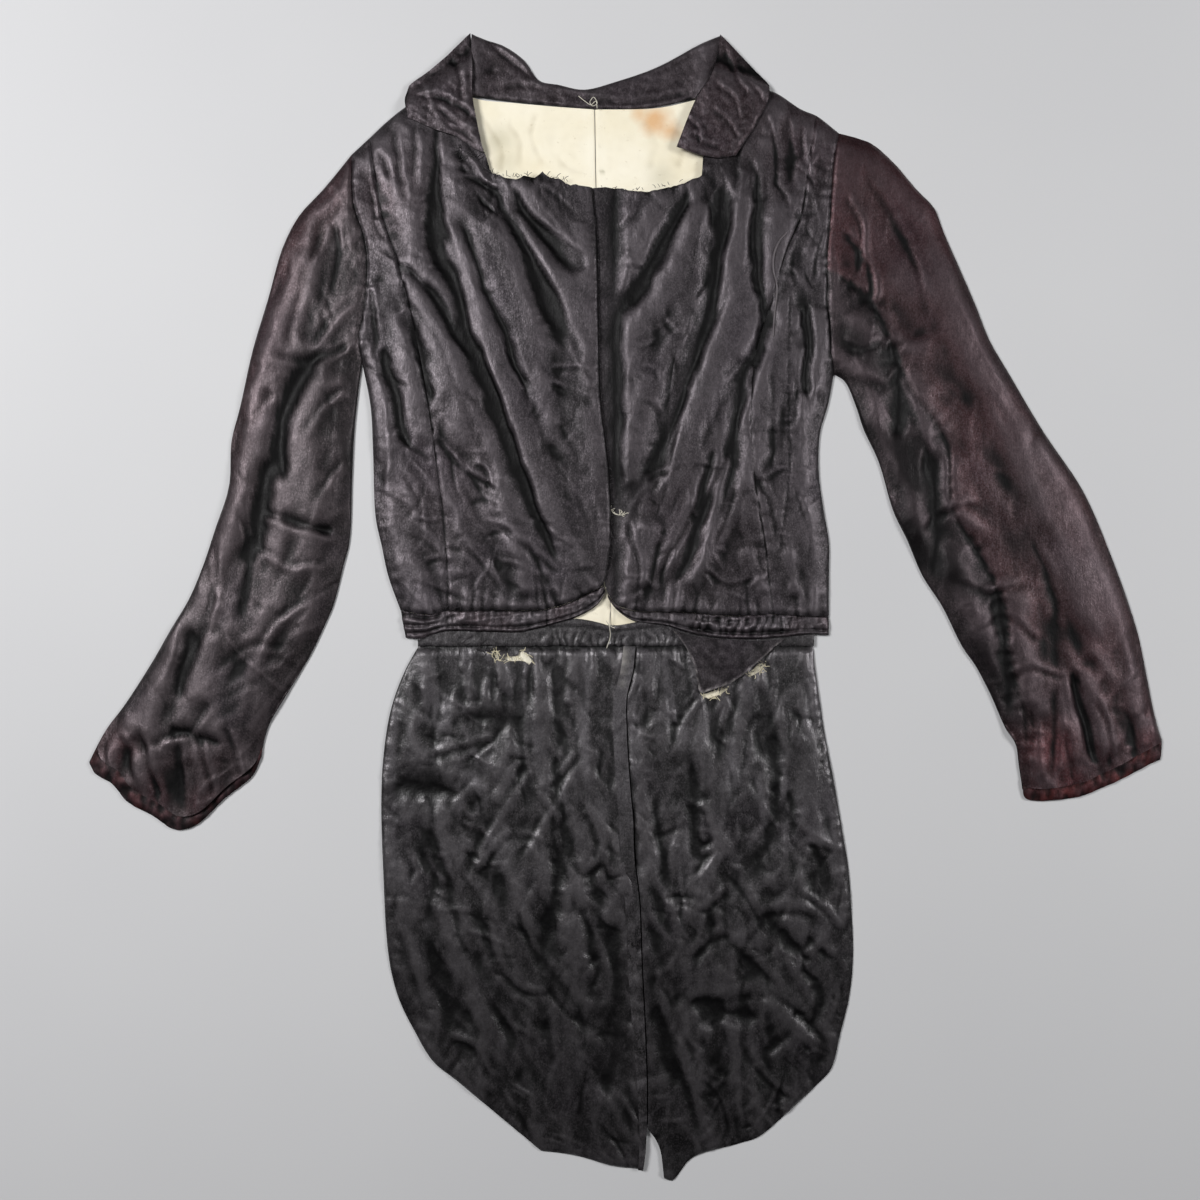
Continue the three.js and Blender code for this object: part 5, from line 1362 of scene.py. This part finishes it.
# ---- Hem bands and waistband ---------------------------------------------------------------------------
BENEATH_HEMLINE = 0.05
BAND_ROWS = np.linspace(0, 1, 20)
RIGHT_LAYERS = 142, 152  # the turned layers of the hem show beyond this, to the wearer's right
RUFFLE = dict(start=50, full=60, fades=124, stop=140, pitch=7)


def add_hem_bands():
    for side, hemline, low_rows, outlines, length in (
            ("right", HEMLINE_RIGHT, HEM_RIGHT, OUTLINES_RIGHT, 168),
            ("left", HEMLINE_LEFT, HEM_LEFT, OUTLINES_LEFT, 172)):
        top_rows = [[x, y - BENEATH_HEMLINE] for x, y in hemline]
        ends = (edge([top_rows[k], low_rows[k]]) for k in (0, -1))
        grid, x, y = between(edge(top_rows), edge(low_rows), *ends, even(length, 1.1), BAND_ROWS, SEAM_GAP / 2)
        v = BAND_ROWS[:, None] * np.ones(x.shape)
        up = round_up(away_from(outlines, x, y), EDGE_RADIUS)
        roll = 1.7 * np.sin(math.pi * np.clip(v, 0, 1)) ** 0.6
        piping = 0.9 * bell(v - 0.88, 0.05) - 0.8 * bell(v - 0.74, 0.06)
        gather = 0.7 * noise(x, y, 3.6, 150, 2.0, 92) + 0.6 * noise(x, y, 8, 151, 1.8, 30)
        gather = gather + 0.6 * (ridged(x, y, 7, 155, 3.0, 8) - 0.5)
        top = HEM_UNDER * up + 0.5 + roll + piping * (0.5 + 0.5 * up) + gather * up
        if side == "right":
            layers = smooth(-x, *RIGHT_LAYERS)
            top = top + layers * (0.7 * np.cos(2 * math.pi * (3 * v + 0.1 * noise(x, y, 9, 152))) - 0.3)
            top = top - 1.2 * bell(x + 63, 1.2)
        else:
            ruffled = smooth(x, RUFFLE["start"], RUFFLE["full"]) * smooth(-x, -RUFFLE["stop"], -RUFFLE["fades"])
            waves = np.sin(2 * math.pi * x / RUFFLE["pitch"] + 4 * noise(x, y, 14, 153) + 2.4 * v)
            top = top + ruffled * (0.9 * waves * np.sin(math.pi * v) + 0.5 * np.cos(4 * math.pi * v))
        shell(f"satin_hem_band_{side}", grid, top, CLOTH, BODY_SATIN,
              {"fade": np.clip(0.1 + 0.2 * noise(x, y, 20, 154), 0, 1)})


WAIST_TOP = {
    "right": [[-166, -9], [-60, -9], [-38, -8.6], [-22, -11.5], [-12.3, -14.5]],
    "left": [[-11.7, -14.5], [-4, -13.4], [6, -11.6], [24, -9], [150, -9]],
}


def add_waistbands():
    vs = np.linspace(0, 1, 15)
    for side, start, stop in (("right", -166, CENTRE_OPENING - SEAM_GAP),
                              ("left", CENTRE_OPENING + SEAM_GAP, 150)):
        us = np.linspace(0, 1, round((stop - start) / 1.1) + 1)
        rows = WAIST_TOP[side]
        corners = (start, rows[0][1]), (stop, rows[-1][1])
        ends = (edge([[x, top_y], [x, WAISTBAND_LOW]]) for x, top_y in corners)
        grid, x, y = between(edge(rows), edge([[start, WAISTBAND_LOW], [stop, WAISTBAND_LOW]]), *ends, us, vs,
                             SHOWN_GAP / 2)
        v = vs[:, None] * np.ones(x.shape)
        y -= v * (0.9 + 0.9 * noise(x, 0 * v, 15, 162) + 0.4 * noise(x, 0 * v, 5, 163))
        waves = np.sin(2 * math.pi * x / WAIST_GATHERS["pitch"] + 3.5 * noise(x, y, 11, 160))
        shown = smooth(x, WAIST_GATHERS["start"] - 6, WAIST_GATHERS["start"])
        shown = shown * (1 - smooth(x, WAIST_GATHERS["stop"], WAIST_GATHERS["stop"] + 10))
        rim = round_up(np.minimum(v, 1 - v) * 15 + 1.6, 3)
        top = (WAISTBAND_TOP + 0.1) * rim + WAIST_GATHERS["rise"] * waves * shown * smooth(v, 0.25, 0.8)
        top = top + 0.2 * noise(x, y, 5, 161) - 0.5 * bell(v - 0.3, 0.06)
        shell(f"satin_waistband_{side}", grid, np.maximum(top, 2.6), 0.5, TAIL_SATIN,
              {"fade": np.zeros(x.shape)})


# ---- Collar --------------------------------------------------------------------------------------------
BAND_CREASES = [
    [2.5, 0.8, 0.6, [[-116, 452], [-96, 440], [-74, 422]]],
    [2.5, 0.5, 0.4, [[-60, 412], [-20, 404], [30, 406], [60, 410]]],
    [2.5, 0.5, 0.4, [[20, 424], [44, 436], [60, 446]]],
    [2.5, 0.4, 0.4, [[-100, 412], [-84, 416], [-62, 412]]],
]
FALL_CREASES = [
    [2.5, 1.2, 0.9, [[-170, 408], [-148, 404], [-130, 396], [-116, 380]]],
    [2.5, 0.9, 0.8, [[-150, 396], [-138, 386], [-120, 372]]],
    [2.0, 0.9, 0.9, [[-142, 382], [-130, 376], [-118, 366]]],
    [2.5, 0.8, 0.7, [[-140, 440], [-132, 420], [-130, 396]]],
    [2.0, 0.6, 0.6, [[-168, 420], [-160, 410], [-156, 394]]],
    [2.0, 0.6, 0.6, [[-128, 450], [-126, 430], [-124, 406]]],
    [2.5, 0.7, 0.7, [[78, 448], [84, 424], [98, 404]]],
    [2.0, 0.8, 0.8, [[50, 378], [62, 368], [76, 364]]],
    [2.0, 0.7, 0.7, [[46, 390], [56, 380], [58, 366]]],
    [2.5, 0.8, 0.7, [[92, 420], [104, 408], [108, 398]]],
    [2.0, 0.6, 0.6, [[70, 416], [84, 404], [90, 388]]],
    [2.0, 0.6, 0.6, [[66, 396], [82, 384], [88, 372]]],
]
BAND_END_RISE = 3.4  # the band stands higher at its two ends, over this width
BAND_END_WIDTH = 10
BAND_FOLD_RADIUS = 5
COLLAR_TUCK = 2.0  # the stand runs on under the folds of its two falls
COLLAR_THIN = 0.9  # thickness of the collar's cloth, as it shows


def add_collar_band():
    grid, x, y = between(edge(COLLAR_TOP), edge(COLLAR_SEAM), edge(COLLAR_END_RIGHT), edge(COLLAR_END_LEFT),
                         even(205, 1.6), even(46, 1.4), SHOWN_GAP / 2)
    x[:, 0] -= COLLAR_TUCK
    x[:, -1] += COLLAR_TUCK
    seam = distance(COLLAR_SEAM, x, y)
    fold = 0.3 + 0.7 * round_up(distance(COLLAR_TOP, x, y), BAND_FOLD_RADIUS)
    ends = COLLAR_SEAM[0][0], COLLAR_SEAM[-1][0] + BAND_END_WIDTH
    raised = sum(bell(x - end, BAND_END_WIDTH) for end in ends)
    wave = line_field(BAND_CREASES, x, y) + 0.5 * noise(x, y, 12, 170, 3, 20)
    wave = wave + 0.25 * noise(x, y, 5, 171)
    top = (BAND_CLOTH + 0.6 * BAND_END_RISE * raised + wave) * fold
    run = x + 2 * noise(x, 0 * x, 9, 174)
    top = top - 0.8 * bell(seam, 1.2) + 0.25 * np.sin(run / 2.1) * bell(seam, 3)
    shell("satin_collar_band", grid, top, COLLAR_THIN, BODY_SATIN, {"fade": np.full(x.shape, 0.12)})


def add_collar_falls():
    """The two falls droop beyond a line that runs over the shoulder, here given by its slope."""
    for side, edges, past, fold_rows, fade in (
            ("right", (edge(FALL_TOP_RIGHT), edge(FALL_LOW_RIGHT), edge(FALL_OUT_RIGHT), edge(FALL_FOLD_RIGHT)),
             lambda x, y: 0.83 * (y - 416 - 0.66 * (x + 137)), FALL_FOLD_RIGHT, 0.14),
            ("left", (edge(FALL_TOP_LEFT), edge(FALL_LOW_LEFT), edge(FALL_FOLD_LEFT), edge(FALL_OUT_LEFT)),
             lambda x, y: 0.92 * (y - 414 + 0.42 * (x - 87)), FALL_FOLD_LEFT, 0.26)):
        grid, x, y = between(*edges, even(62, 1.3), even(90, 1.3), SHOWN_GAP / 2)
        rim = away_from([FALL_OUT_RIGHT, FALL_LOW_RIGHT, FALL_OUT_LEFT, FALL_LOW_LEFT], x, y)
        wave = line_field(FALL_CREASES, x, y)
        wave = wave + 0.6 * noise(x, y, 14, 172, 1.8, -60) + 0.3 * noise(x, y, 5, 173)
        top = COLLAR_UNDER - COLLAR_DROOP * smooth(past(x, y), 3, 18) + COLLAR_CLOTH
        top = top + 0.8 * wave - 1.0 * bell(rim, 2.2)
        top = top + 0.25 * noise(x, y, 4, 176) - 0.4 * bell(distance(fold_rows, x, y), 2.0)
        shell(f"satin_collar_fall_{side}", grid, top, COLLAR_THIN, BODY_SATIN,
              {"fade": np.full(x.shape, fade)})


# ---- Basque tails --------------------------------------------------------------------------------------
WAIST_TUCK = 1.8  # the tails reach this far up under the waistband
TAIL_THIN = 0.7  # thickness of the tails' cloth, as it shows
FREE_EDGES_RIGHT = [TAIL_OUT_RIGHT, TAIL_LOW_RIGHT]
FREE_EDGES_LEFT = [TAIL_OUT_LEFT, TAIL_LOW_LEFT]
TAIL_EDGES_RIGHT = (edge(TAIL_TOP_RIGHT), edge(TAIL_LOW_RIGHT), edge(TAIL_OUT_RIGHT),
                    edge(TAIL_CENTRE, TAIL_END_RIGHT))
TAIL_EDGES_LEFT = (edge(TAIL_TOP_LEFT), edge(TAIL_LOW_LEFT), edge(TAIL_CENTRE, TAIL_END_LEFT),
                   edge(TAIL_OUT_LEFT))
LINING_STEP = 14, 4  # how far below the lining's lower edge the tail starts and ends its rise over it
SEWN = -37, -30  # between these y a tail thins down into the waistband's seam
SEWN_TOP = 1.0
TAIL_DETAIL = 2.4, 2.8  # the lowest and highest of the tails' folds
CENTRE_FOOT = -418, -400  # between these y the centre edges part at the foot


def over_lining(y):
    """1 where the cotton lies under a tail, 0 below it."""
    return smooth(y, TAIL_LINING_LOW - LINING_STEP[0], TAIL_LINING_LOW - LINING_STEP[1])


def tail_layer(outlines, top_rows, rows, creases, angle, seed, box):
    """The outer side of a tail: loft, folds and creases, thinned where the waistband is sewn over it."""
    seams = [[0.5, 1.8, 9, 0.4, 7, path] for path in outlines] + [[0.3, 1.6, 6, 0.7, 13, top_rows]]

    def height(x, y):
        up = round_up(away_from(outlines, x, y), TAIL_EDGE_RADIUS)
        low = (INTERLINING_CLOTH + LAYER_GAP + 0.7) * over_lining(y) * np.minimum(1, 1.4 * up)
        z = fold_field(rows, x, y) + line_field(creases, x, y) + seam_field(seams, x, y)
        z += 1.7 * noise(x, y, 22, seed, 3.6, angle)
        z += 1.2 * (ridged(x, y, 40, seed + 1, 2.8, angle) - 0.45)
        z += 0.8 * (ridged(x, y, 22, seed + 2, 2.6, angle + 24) - 0.45)
        z += 0.4 * (ridged(x, y, 12, seed + 3, 2.0, angle - 20) - 0.45)
        z += 1.5 * noise(x, y, 7.5, seed + 6, 5.0, 90) * smooth(y, -120, -48)
        z += crumples(x, y, seed + 4, 150, box, angle, 30, (20, 80), (1.4, 2.6), (0.35, 1.15), 0.9)
        z += crumples(x, y, seed + 5, 170, box, angle + 55, 36, (8, 34), (1.2, 2.0), (0.35, 0.95), 0.95)
        lofty = (TAIL_LOFT + 0.6 * TAIL_CLOTH + eased(z, *TAIL_DETAIL)) * up
        top = np.maximum(low, lofty) + 0.4 * TAIL_CLOTH
        return top + (SEWN_TOP - top) * smooth(y, *SEWN)

    return height


tail_right_height = tail_layer(
    FREE_EDGES_RIGHT, TAIL_TOP_RIGHT, TAIL_FOLDS_RIGHT, CREASES_TAIL_RIGHT, -82, 200, (-200, 20, -450, -30))
tail_left_height = tail_layer(
    FREE_EDGES_LEFT, TAIL_TOP_LEFT, TAIL_FOLDS_LEFT, CREASES_TAIL_LEFT, -96, 220, (0, 190, -460, -30))

# Painted shade on the tails, in their folds: x, y, radius and strength.
TAIL_PAINTED_SHADE = [
    [-100, -90, 26, 0.6], [-160, -142, 20, 0.9], [-176, -144, 16, 0.9], [-12, -260, 12, 0.6],
    [-20, -320, 14, 0.7], [-16, -370, 14, 0.7], [8, -46, 6, 1.0], [110, -245, 14, 0.5], [124, -264, 12, 0.6],
    [70, -318, 16, 0.7], [96, -322, 14, 0.6], [20, -120, 8, 0.5], [60, -150, 10, 0.5], [-60, -330, 20, 0.5],
    [-96, -360, 22, 0.5], [60, -360, 20, 0.4], [140, -340, 16, 0.4], [-140, -240, 14, 0.4],
    [-130, -60, 12, 0.4], [100, -80, 12, 0.4], [136, -110, 14, 0.4], [-60, -230, 14, 0.35],
]


def tail_sheen(x, y, seed):
    """Painted sheen: streaks of light and glints down the satin's length, strongest below the waist."""
    streaks = 1.5 * noise(x, y, 13, seed, 4.5, 90) + 0.7 * noise(x, y, 34, seed + 1, 1.6, 90) - 0.2
    glints = 1.6 * noise(x, y, 8, seed + 2, 3.0, 60) - 0.5
    low = 0.2 + 0.8 * smooth(y, -310, -90)
    return np.clip(streaks, 0, 0.75) * low + np.clip(glints, 0, 0.35) * (1 - 0.5 * low)


def add_tails():
    us, vs = even(200, GRID), even(425, GRID)
    for side, edges, height, holes in (("right", TAIL_EDGES_RIGHT, tail_right_height, RIPS_RIGHT),
                                       ("left", TAIL_EDGES_LEFT, tail_left_height, RIPS_LEFT)):
        grid, x, y = between(*edges, us, vs)
        y[0] += WAIST_TUCK
        draw_in(grid, TAIL_GAP / 2)
        centre = distance(TAIL_CENTRE, x, y)
        above = smooth(y, *CENTRE_FOOT)
        if side == "right":
            x[:, -1] += 2.6 * above[:, -1]
            top = height(x, y)
            top = top + (0.85 - top) * smooth(centre, 5, 0) * above
            top[:, -1] = top[:, -1] * (1 - above[:, -1]) + 0.8 * above[:, -1]
        else:
            top = np.maximum(height(x, y), 2.3 * smooth(centre, 6, 0) * above)
            uneven = 0.6 + 0.8 * noise(0 * x, y, 26, 245)
            top = top + 1.2 * uneven * bell(centre - 3.4, 2.4) * above * smooth(y, -330, -120)
        # Painted shade at the listed places, deepening towards the foot. The 'fade' value below paints streaks
        # of sheen.
        deep = np.maximum(spots(TAIL_PAINTED_SHADE, x, y), 0.42 * smooth(-y, 170, 320))
        shell(f"satin_tail_{side}", grid, top, TAIL_THIN, TAIL_SATIN,
              {"deep": deep, "fade": np.clip(tail_sheen(x, y, 252), 0, 1)}, holes,
              open_rim=smooth(away_from(FREE_EDGES_RIGHT + FREE_EDGES_LEFT, x, y), 1, 8))


FACING_PALE = [[-4, -36, 5, 1.0], [-3.6, -42, 5, 0.9], [-3.4, -50, 4, 0.5], [-3, -60, 3.5, 0.3]]
FACING_SHARE = 0.94, 1  # the part of the tail's width that the facing takes


def add_tail_facing():
    """The facing down the wearer's right tail, from the waist to the foot along the centre."""
    grid, x, y = between(*TAIL_EDGES_RIGHT, np.linspace(*FACING_SHARE, 9), np.linspace(0, 1, 260), TAIL_GAP / 2)
    up = round_up(away_from(FREE_EDGES_RIGHT, x, y), TAIL_EDGE_RADIUS)
    under = np.maximum((INTERLINING_CLOTH + LAYER_GAP) * over_lining(y), TAIL_LOFT * up * 0.8)
    low_part = smooth(-y, 200, 260)
    wave = 0.5 * noise(x, y, 9, 240, 2.6, 84) + 0.35 * noise(x, y, 4.5, 241)
    wave = wave + low_part * 1.3 * noise(x, y, 11, 243, 2.2, 20)
    top = under + TAIL_CLOTH + LAYER_GAP + FACING_CLOTH + 0.7 * wave + 0.5
    # Painted sheen: lighter on the upper part of the facing, and bright patches on its puckers below.
    fade = 0.5 * smooth(y, -230, -130) + 0.9 * low_part * noise(x, y, 8, 244, 2.0, 20)
    shell("satin_tail_facing_right", grid, top, 0.5, TAIL_SATIN,
          {"fade": np.clip(fade, 0, 1), "pale": spots(FACING_PALE, x, y)})


def add_tail_linings():
    for side, high, low in (
            ("right", [[-163, -33], [3, -33]], [[-180, TAIL_LINING_LOW], [-4, TAIL_LINING_LOW]]),
            ("left", [[12, -33], [143, -33]], [[8, TAIL_LINING_LOW], [148, TAIL_LINING_LOW]])):
        grid, x, y = between(edge(high), edge(low), edge([high[0], low[0]]), edge([high[1], low[1]]),
                             even(165, 2.4), even(47, 2.4))
        top = INTERLINING_CLOTH - 0.25 + 0.2 * noise(x, y, 6, 250)
        shell(f"cotton_tail_lining_{side}", grid, top, 0.6, COTTON,
              {"stain": np.zeros(x.shape), "shade": np.zeros(x.shape)})


def add_torn_flap():
    grid, x, y = between(edge(FLAP_TOP), edge(FLAP_TIP), edge(FLAP_LEFT), edge(FLAP_RIGHT),
                         even(90, 1.3), even(50, 1.3), SEAM_GAP / 2)
    torn = smooth(np.linspace(0, 1, len(grid)), 0, 0.15)
    for column, reach in ((0, 1.7), (1, 0.9), (-1, -1.7), (-2, -0.9)):
        along = x[:, column] + y[:, column]
        x[:, column] += reach * torn * (0.5 + noise(along, 0 * along, 4.5, 264))
    wave = 0.7 * noise(x, y, 12, 260, 2.4, -60) + 0.5 * (ridged(x, y, 14, 261, 2, -50) - 0.5)
    wave = wave + 0.4 * noise(x, y, 5, 262)
    rim = away_from([FLAP_LEFT, FLAP_TIP, FLAP_RIGHT], x, y)
    frayed = (1 - smooth(rim, 0.3, 2.4)) * (0.5 + 0.8 * noise(x, y, 4, 263))
    top = FLAP_UNDER + FLAP_CLOTH + 0.8 * wave + 0.5 * (1 - smooth(rim, 0.5, 3))
    shell("satin_torn_flap", grid, top, 0.7, BODY_SATIN,
          {"fade": np.full(x.shape, 0.05), "pale": np.clip(0.45 * frayed, 0, 0.5),
           "deep": 0.25 * smooth(rim, 1, 5)})


# ---- Loose threads and frays ---------------------------------------------------------------------------
def on_cloth(rows, height, above, count=24):
    """A thread that lies on the cloth along a path."""
    path = sampled(rows, count)
    return np.column_stack([path, height(path[:, 0], path[:, 1]) + above])


def level(z):
    """A cloth that lies at this height everywhere."""
    return lambda x, y: np.full(np.shape(x), float(z))


def frays(rows, height, count, length, seed, lean, spread):
    """Short strands that stand out of a raw edge; they lean by this angle from the edge's own direction."""
    rng = np.random.default_rng(seed)
    path = sampled(rows, 80)
    strands = []
    for _ in range(count):
        k = rng.integers(0, len(path) - 1)
        step = path[k + 1] - path[k]
        turn = math.atan2(step[1], step[0]) + math.radians(rng.normal(lean, spread))
        long, curl = rng.uniform(*length), rng.normal(0, 0.5)
        t = np.linspace(0, 1, 5)
        bend = turn + curl * t
        x = path[k, 0] + long * t * np.cos(bend)
        y = path[k, 1] + long * t * np.sin(bend)
        strands.append(np.column_stack([x, y, height(x, y) + 0.25 + 0.5 * rng.random() * t]))
    return strands


def front_right_top(x, y):
    """The wearer's right front as it shows."""
    return front_right_height(x, y, lapped)


def front_left_top(x, y):
    """The wearer's left front as it shows."""
    return front_left_height(x, y, tucked)


WHITE_THREADS = [  # the height that each lies at, and its path
    (level(6.4), [[-38, 407], [-33, 403], [-28, 400], [-24, 403], [-23, 397]]),
    (level(6.6), [[-29, 402], [-26, 406], [-23, 401], [-27, 399], [-29, 402]]),
    (level(7.0), [[-12, 2], [-13.5, -12], [-12.5, -22], [-15.5, -32]]),
    (level(7.2), [[-16, -10], [-13, -14], [-9, -16]]),
]
PALE_TUFT = [[-13, 79], [-9, 75], [-4, 74], [1, 75.5]]
GREY_CORD = [[127, 297], [121, 290], [117, 280], [116.5, 268], [119.5, 254], [118, 236], [116.5, 215]]
DARK_FRAYS = [  # edge, cloth, how many, their length, the lean and its spread
    ([[-110, 347], [-91, 342], [-65, 344], [-45, 338]], front_right_top, 28, (1.5, 5), 90, 50),
    ([[-136, 366], [-124, 358], [-112, 350]], front_right_top, 26, (3, 9), 0, 70),
    ([[-20, 335], [14, 332], [50, 340]], front_left_top, 16, (1.5, 4), 90, 50),
    (CENTRE_RIGHT[1:-1], front_right_top, 34, (1.5, 4.5), 80, 40),
    (FLAP_LEFT, level(5.6), 16, (2, 5), -90, 40),
    (FLAP_RIGHT[::-1], level(5.6), 34, (2, 6), -90, 45),
    ([[-166, -3], [-150, -1], [-129, -2]], level(6.6), 22, (3, 9), 100, 50),
    (HEM_LEFT[2:6], level(7.0), 26, (2, 6), -90, 60),
    ([[-136, -27], [-118, -33], [-96, -36]], level(3.4), 26, (4, 12), 0, 60),
]
WHITE_STRAND = 0.32  # the threads' radii
CREAM_STRAND = 0.28
DARK_STRAND = 0.22
GREY_STRAND = 0.75


def add_threads():
    white = [on_cloth(rows, height, 0) for height, rows in WHITE_THREADS]
    white += frays(PALE_TUFT, front_left_top, 14, (2, 5), 300, 60, 60)
    white.append(on_cloth(PALE_TUFT, front_left_top, 0.6))
    tube_mesh("threads_white", white, WHITE_STRAND, WHITE_THREAD)
    cream = []
    for k, outline in enumerate(RIPS_RIGHT + RIPS_LEFT):
        height = tail_right_height if outline in RIPS_RIGHT else tail_left_height
        cream += frays(outline + outline[:1], height, 22, (1.5, 5), 310 + k, 0, 80)
    tube_mesh("frays_cream", cream, CREAM_STRAND, CREAM_THREAD)
    dark = []
    for k, (rows, height, count, length, lean, spread) in enumerate(DARK_FRAYS):
        dark += frays(rows, height, count, length, 330 + k, lean, spread)
    tube_mesh("frays_dark", dark, DARK_STRAND, DARK_THREAD)
    grey = [on_cloth(GREY_CORD, front_left_top, 0.7, 60)]
    tube_mesh("thread_grey", grey, GREY_STRAND, GREY_THREAD, 8)


# ---- Room ----------------------------------------------------------------------------------------------
FLOOR_HALF = 4.0


def add_floor():
    mesh = bpy.data.meshes.new("floor")
    corners = [(x * FLOOR_HALF, y * FLOOR_HALF, 0) for x, y in ((-1, -1), (1, -1), (1, 1), (-1, 1))]
    mesh.from_pydata(corners, [], [(0, 1, 2, 3)])
    s = Shader("floor")
    tone = s.mix(s.noise(3.0, 2.0), linear(200, 200, 202), linear(208, 208, 209))
    s.fill(s.shader, {"Base Color": tone, "Roughness": 0.95, "Specular IOR Level": 0.1})
    mesh.materials.append(s.material)
    floor = bpy.data.objects.new("floor", mesh)
    bpy.context.scene.collection.objects.link(floor)


LIGHTS = [  # name, place, what it points at, size and watts
    ("light_left", (-1.1, 0.55, 1.45), (-0.05, 0, 0), 0.7, 30),
    ("light_right", (1.5, 0.35, 1.25), (0.05, 0, 0), 0.7, 17),
    ("light_over", (0.0, 0.3, 2.0), (0, 0, 0), 0.8, 2.6),
]


def add_light(name, place, aim, size, watts):
    data = bpy.data.lights.new(name, "AREA")
    data.shape = "DISK"
    data.size = size
    data.energy = watts
    light = bpy.data.objects.new(name, data)
    light.location = place
    light.rotation_euler = Vector(np.array(aim) - np.array(place)).to_track_quat("-Z", "Y").to_euler()
    light.visible_camera = False
    bpy.context.scene.collection.objects.link(light)


WORLD_COLOUR = 214, 216, 222
WORLD_STRENGTH = 0.05
VIEW_X, VIEW_Y, VIEW_HEIGHT = -0.0201, 0.0063, 0.96
LENS = SENSOR = 36  # millimetres, so the frame is as wide as the camera is high


def add_world():
    world = bpy.data.worlds.new("room")
    world.use_nodes = True
    background = world.node_tree.nodes["Background"]
    background.inputs[0].default_value = linear(*WORLD_COLOUR)
    background.inputs[1].default_value = WORLD_STRENGTH
    bpy.context.scene.world = world
    bpy.context.scene.view_settings.view_transform = "Standard"


def add_camera():
    data = bpy.data.cameras.new("camera")
    data.lens, data.sensor_width = LENS, SENSOR
    camera = bpy.data.objects.new("camera", data)
    camera.location = (VIEW_X, VIEW_Y, VIEW_HEIGHT)
    bpy.context.scene.collection.objects.link(camera)
    bpy.context.scene.camera = camera


def declare_cuts():
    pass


# ---- The whole scene -----------------------------------------------------------------------------------
for add in (add_fronts, add_sleeves, add_cuff_facings, add_backs, add_under_sleeves, add_linings, add_hem_bands,
            add_waistbands, add_collar_band, add_collar_falls, add_tails, add_tail_facing, add_tail_linings,
            add_torn_flap, add_threads, declare_cuts, add_floor):
    add()
for light in LIGHTS:
    add_light(*light)
add_world()
add_camera()
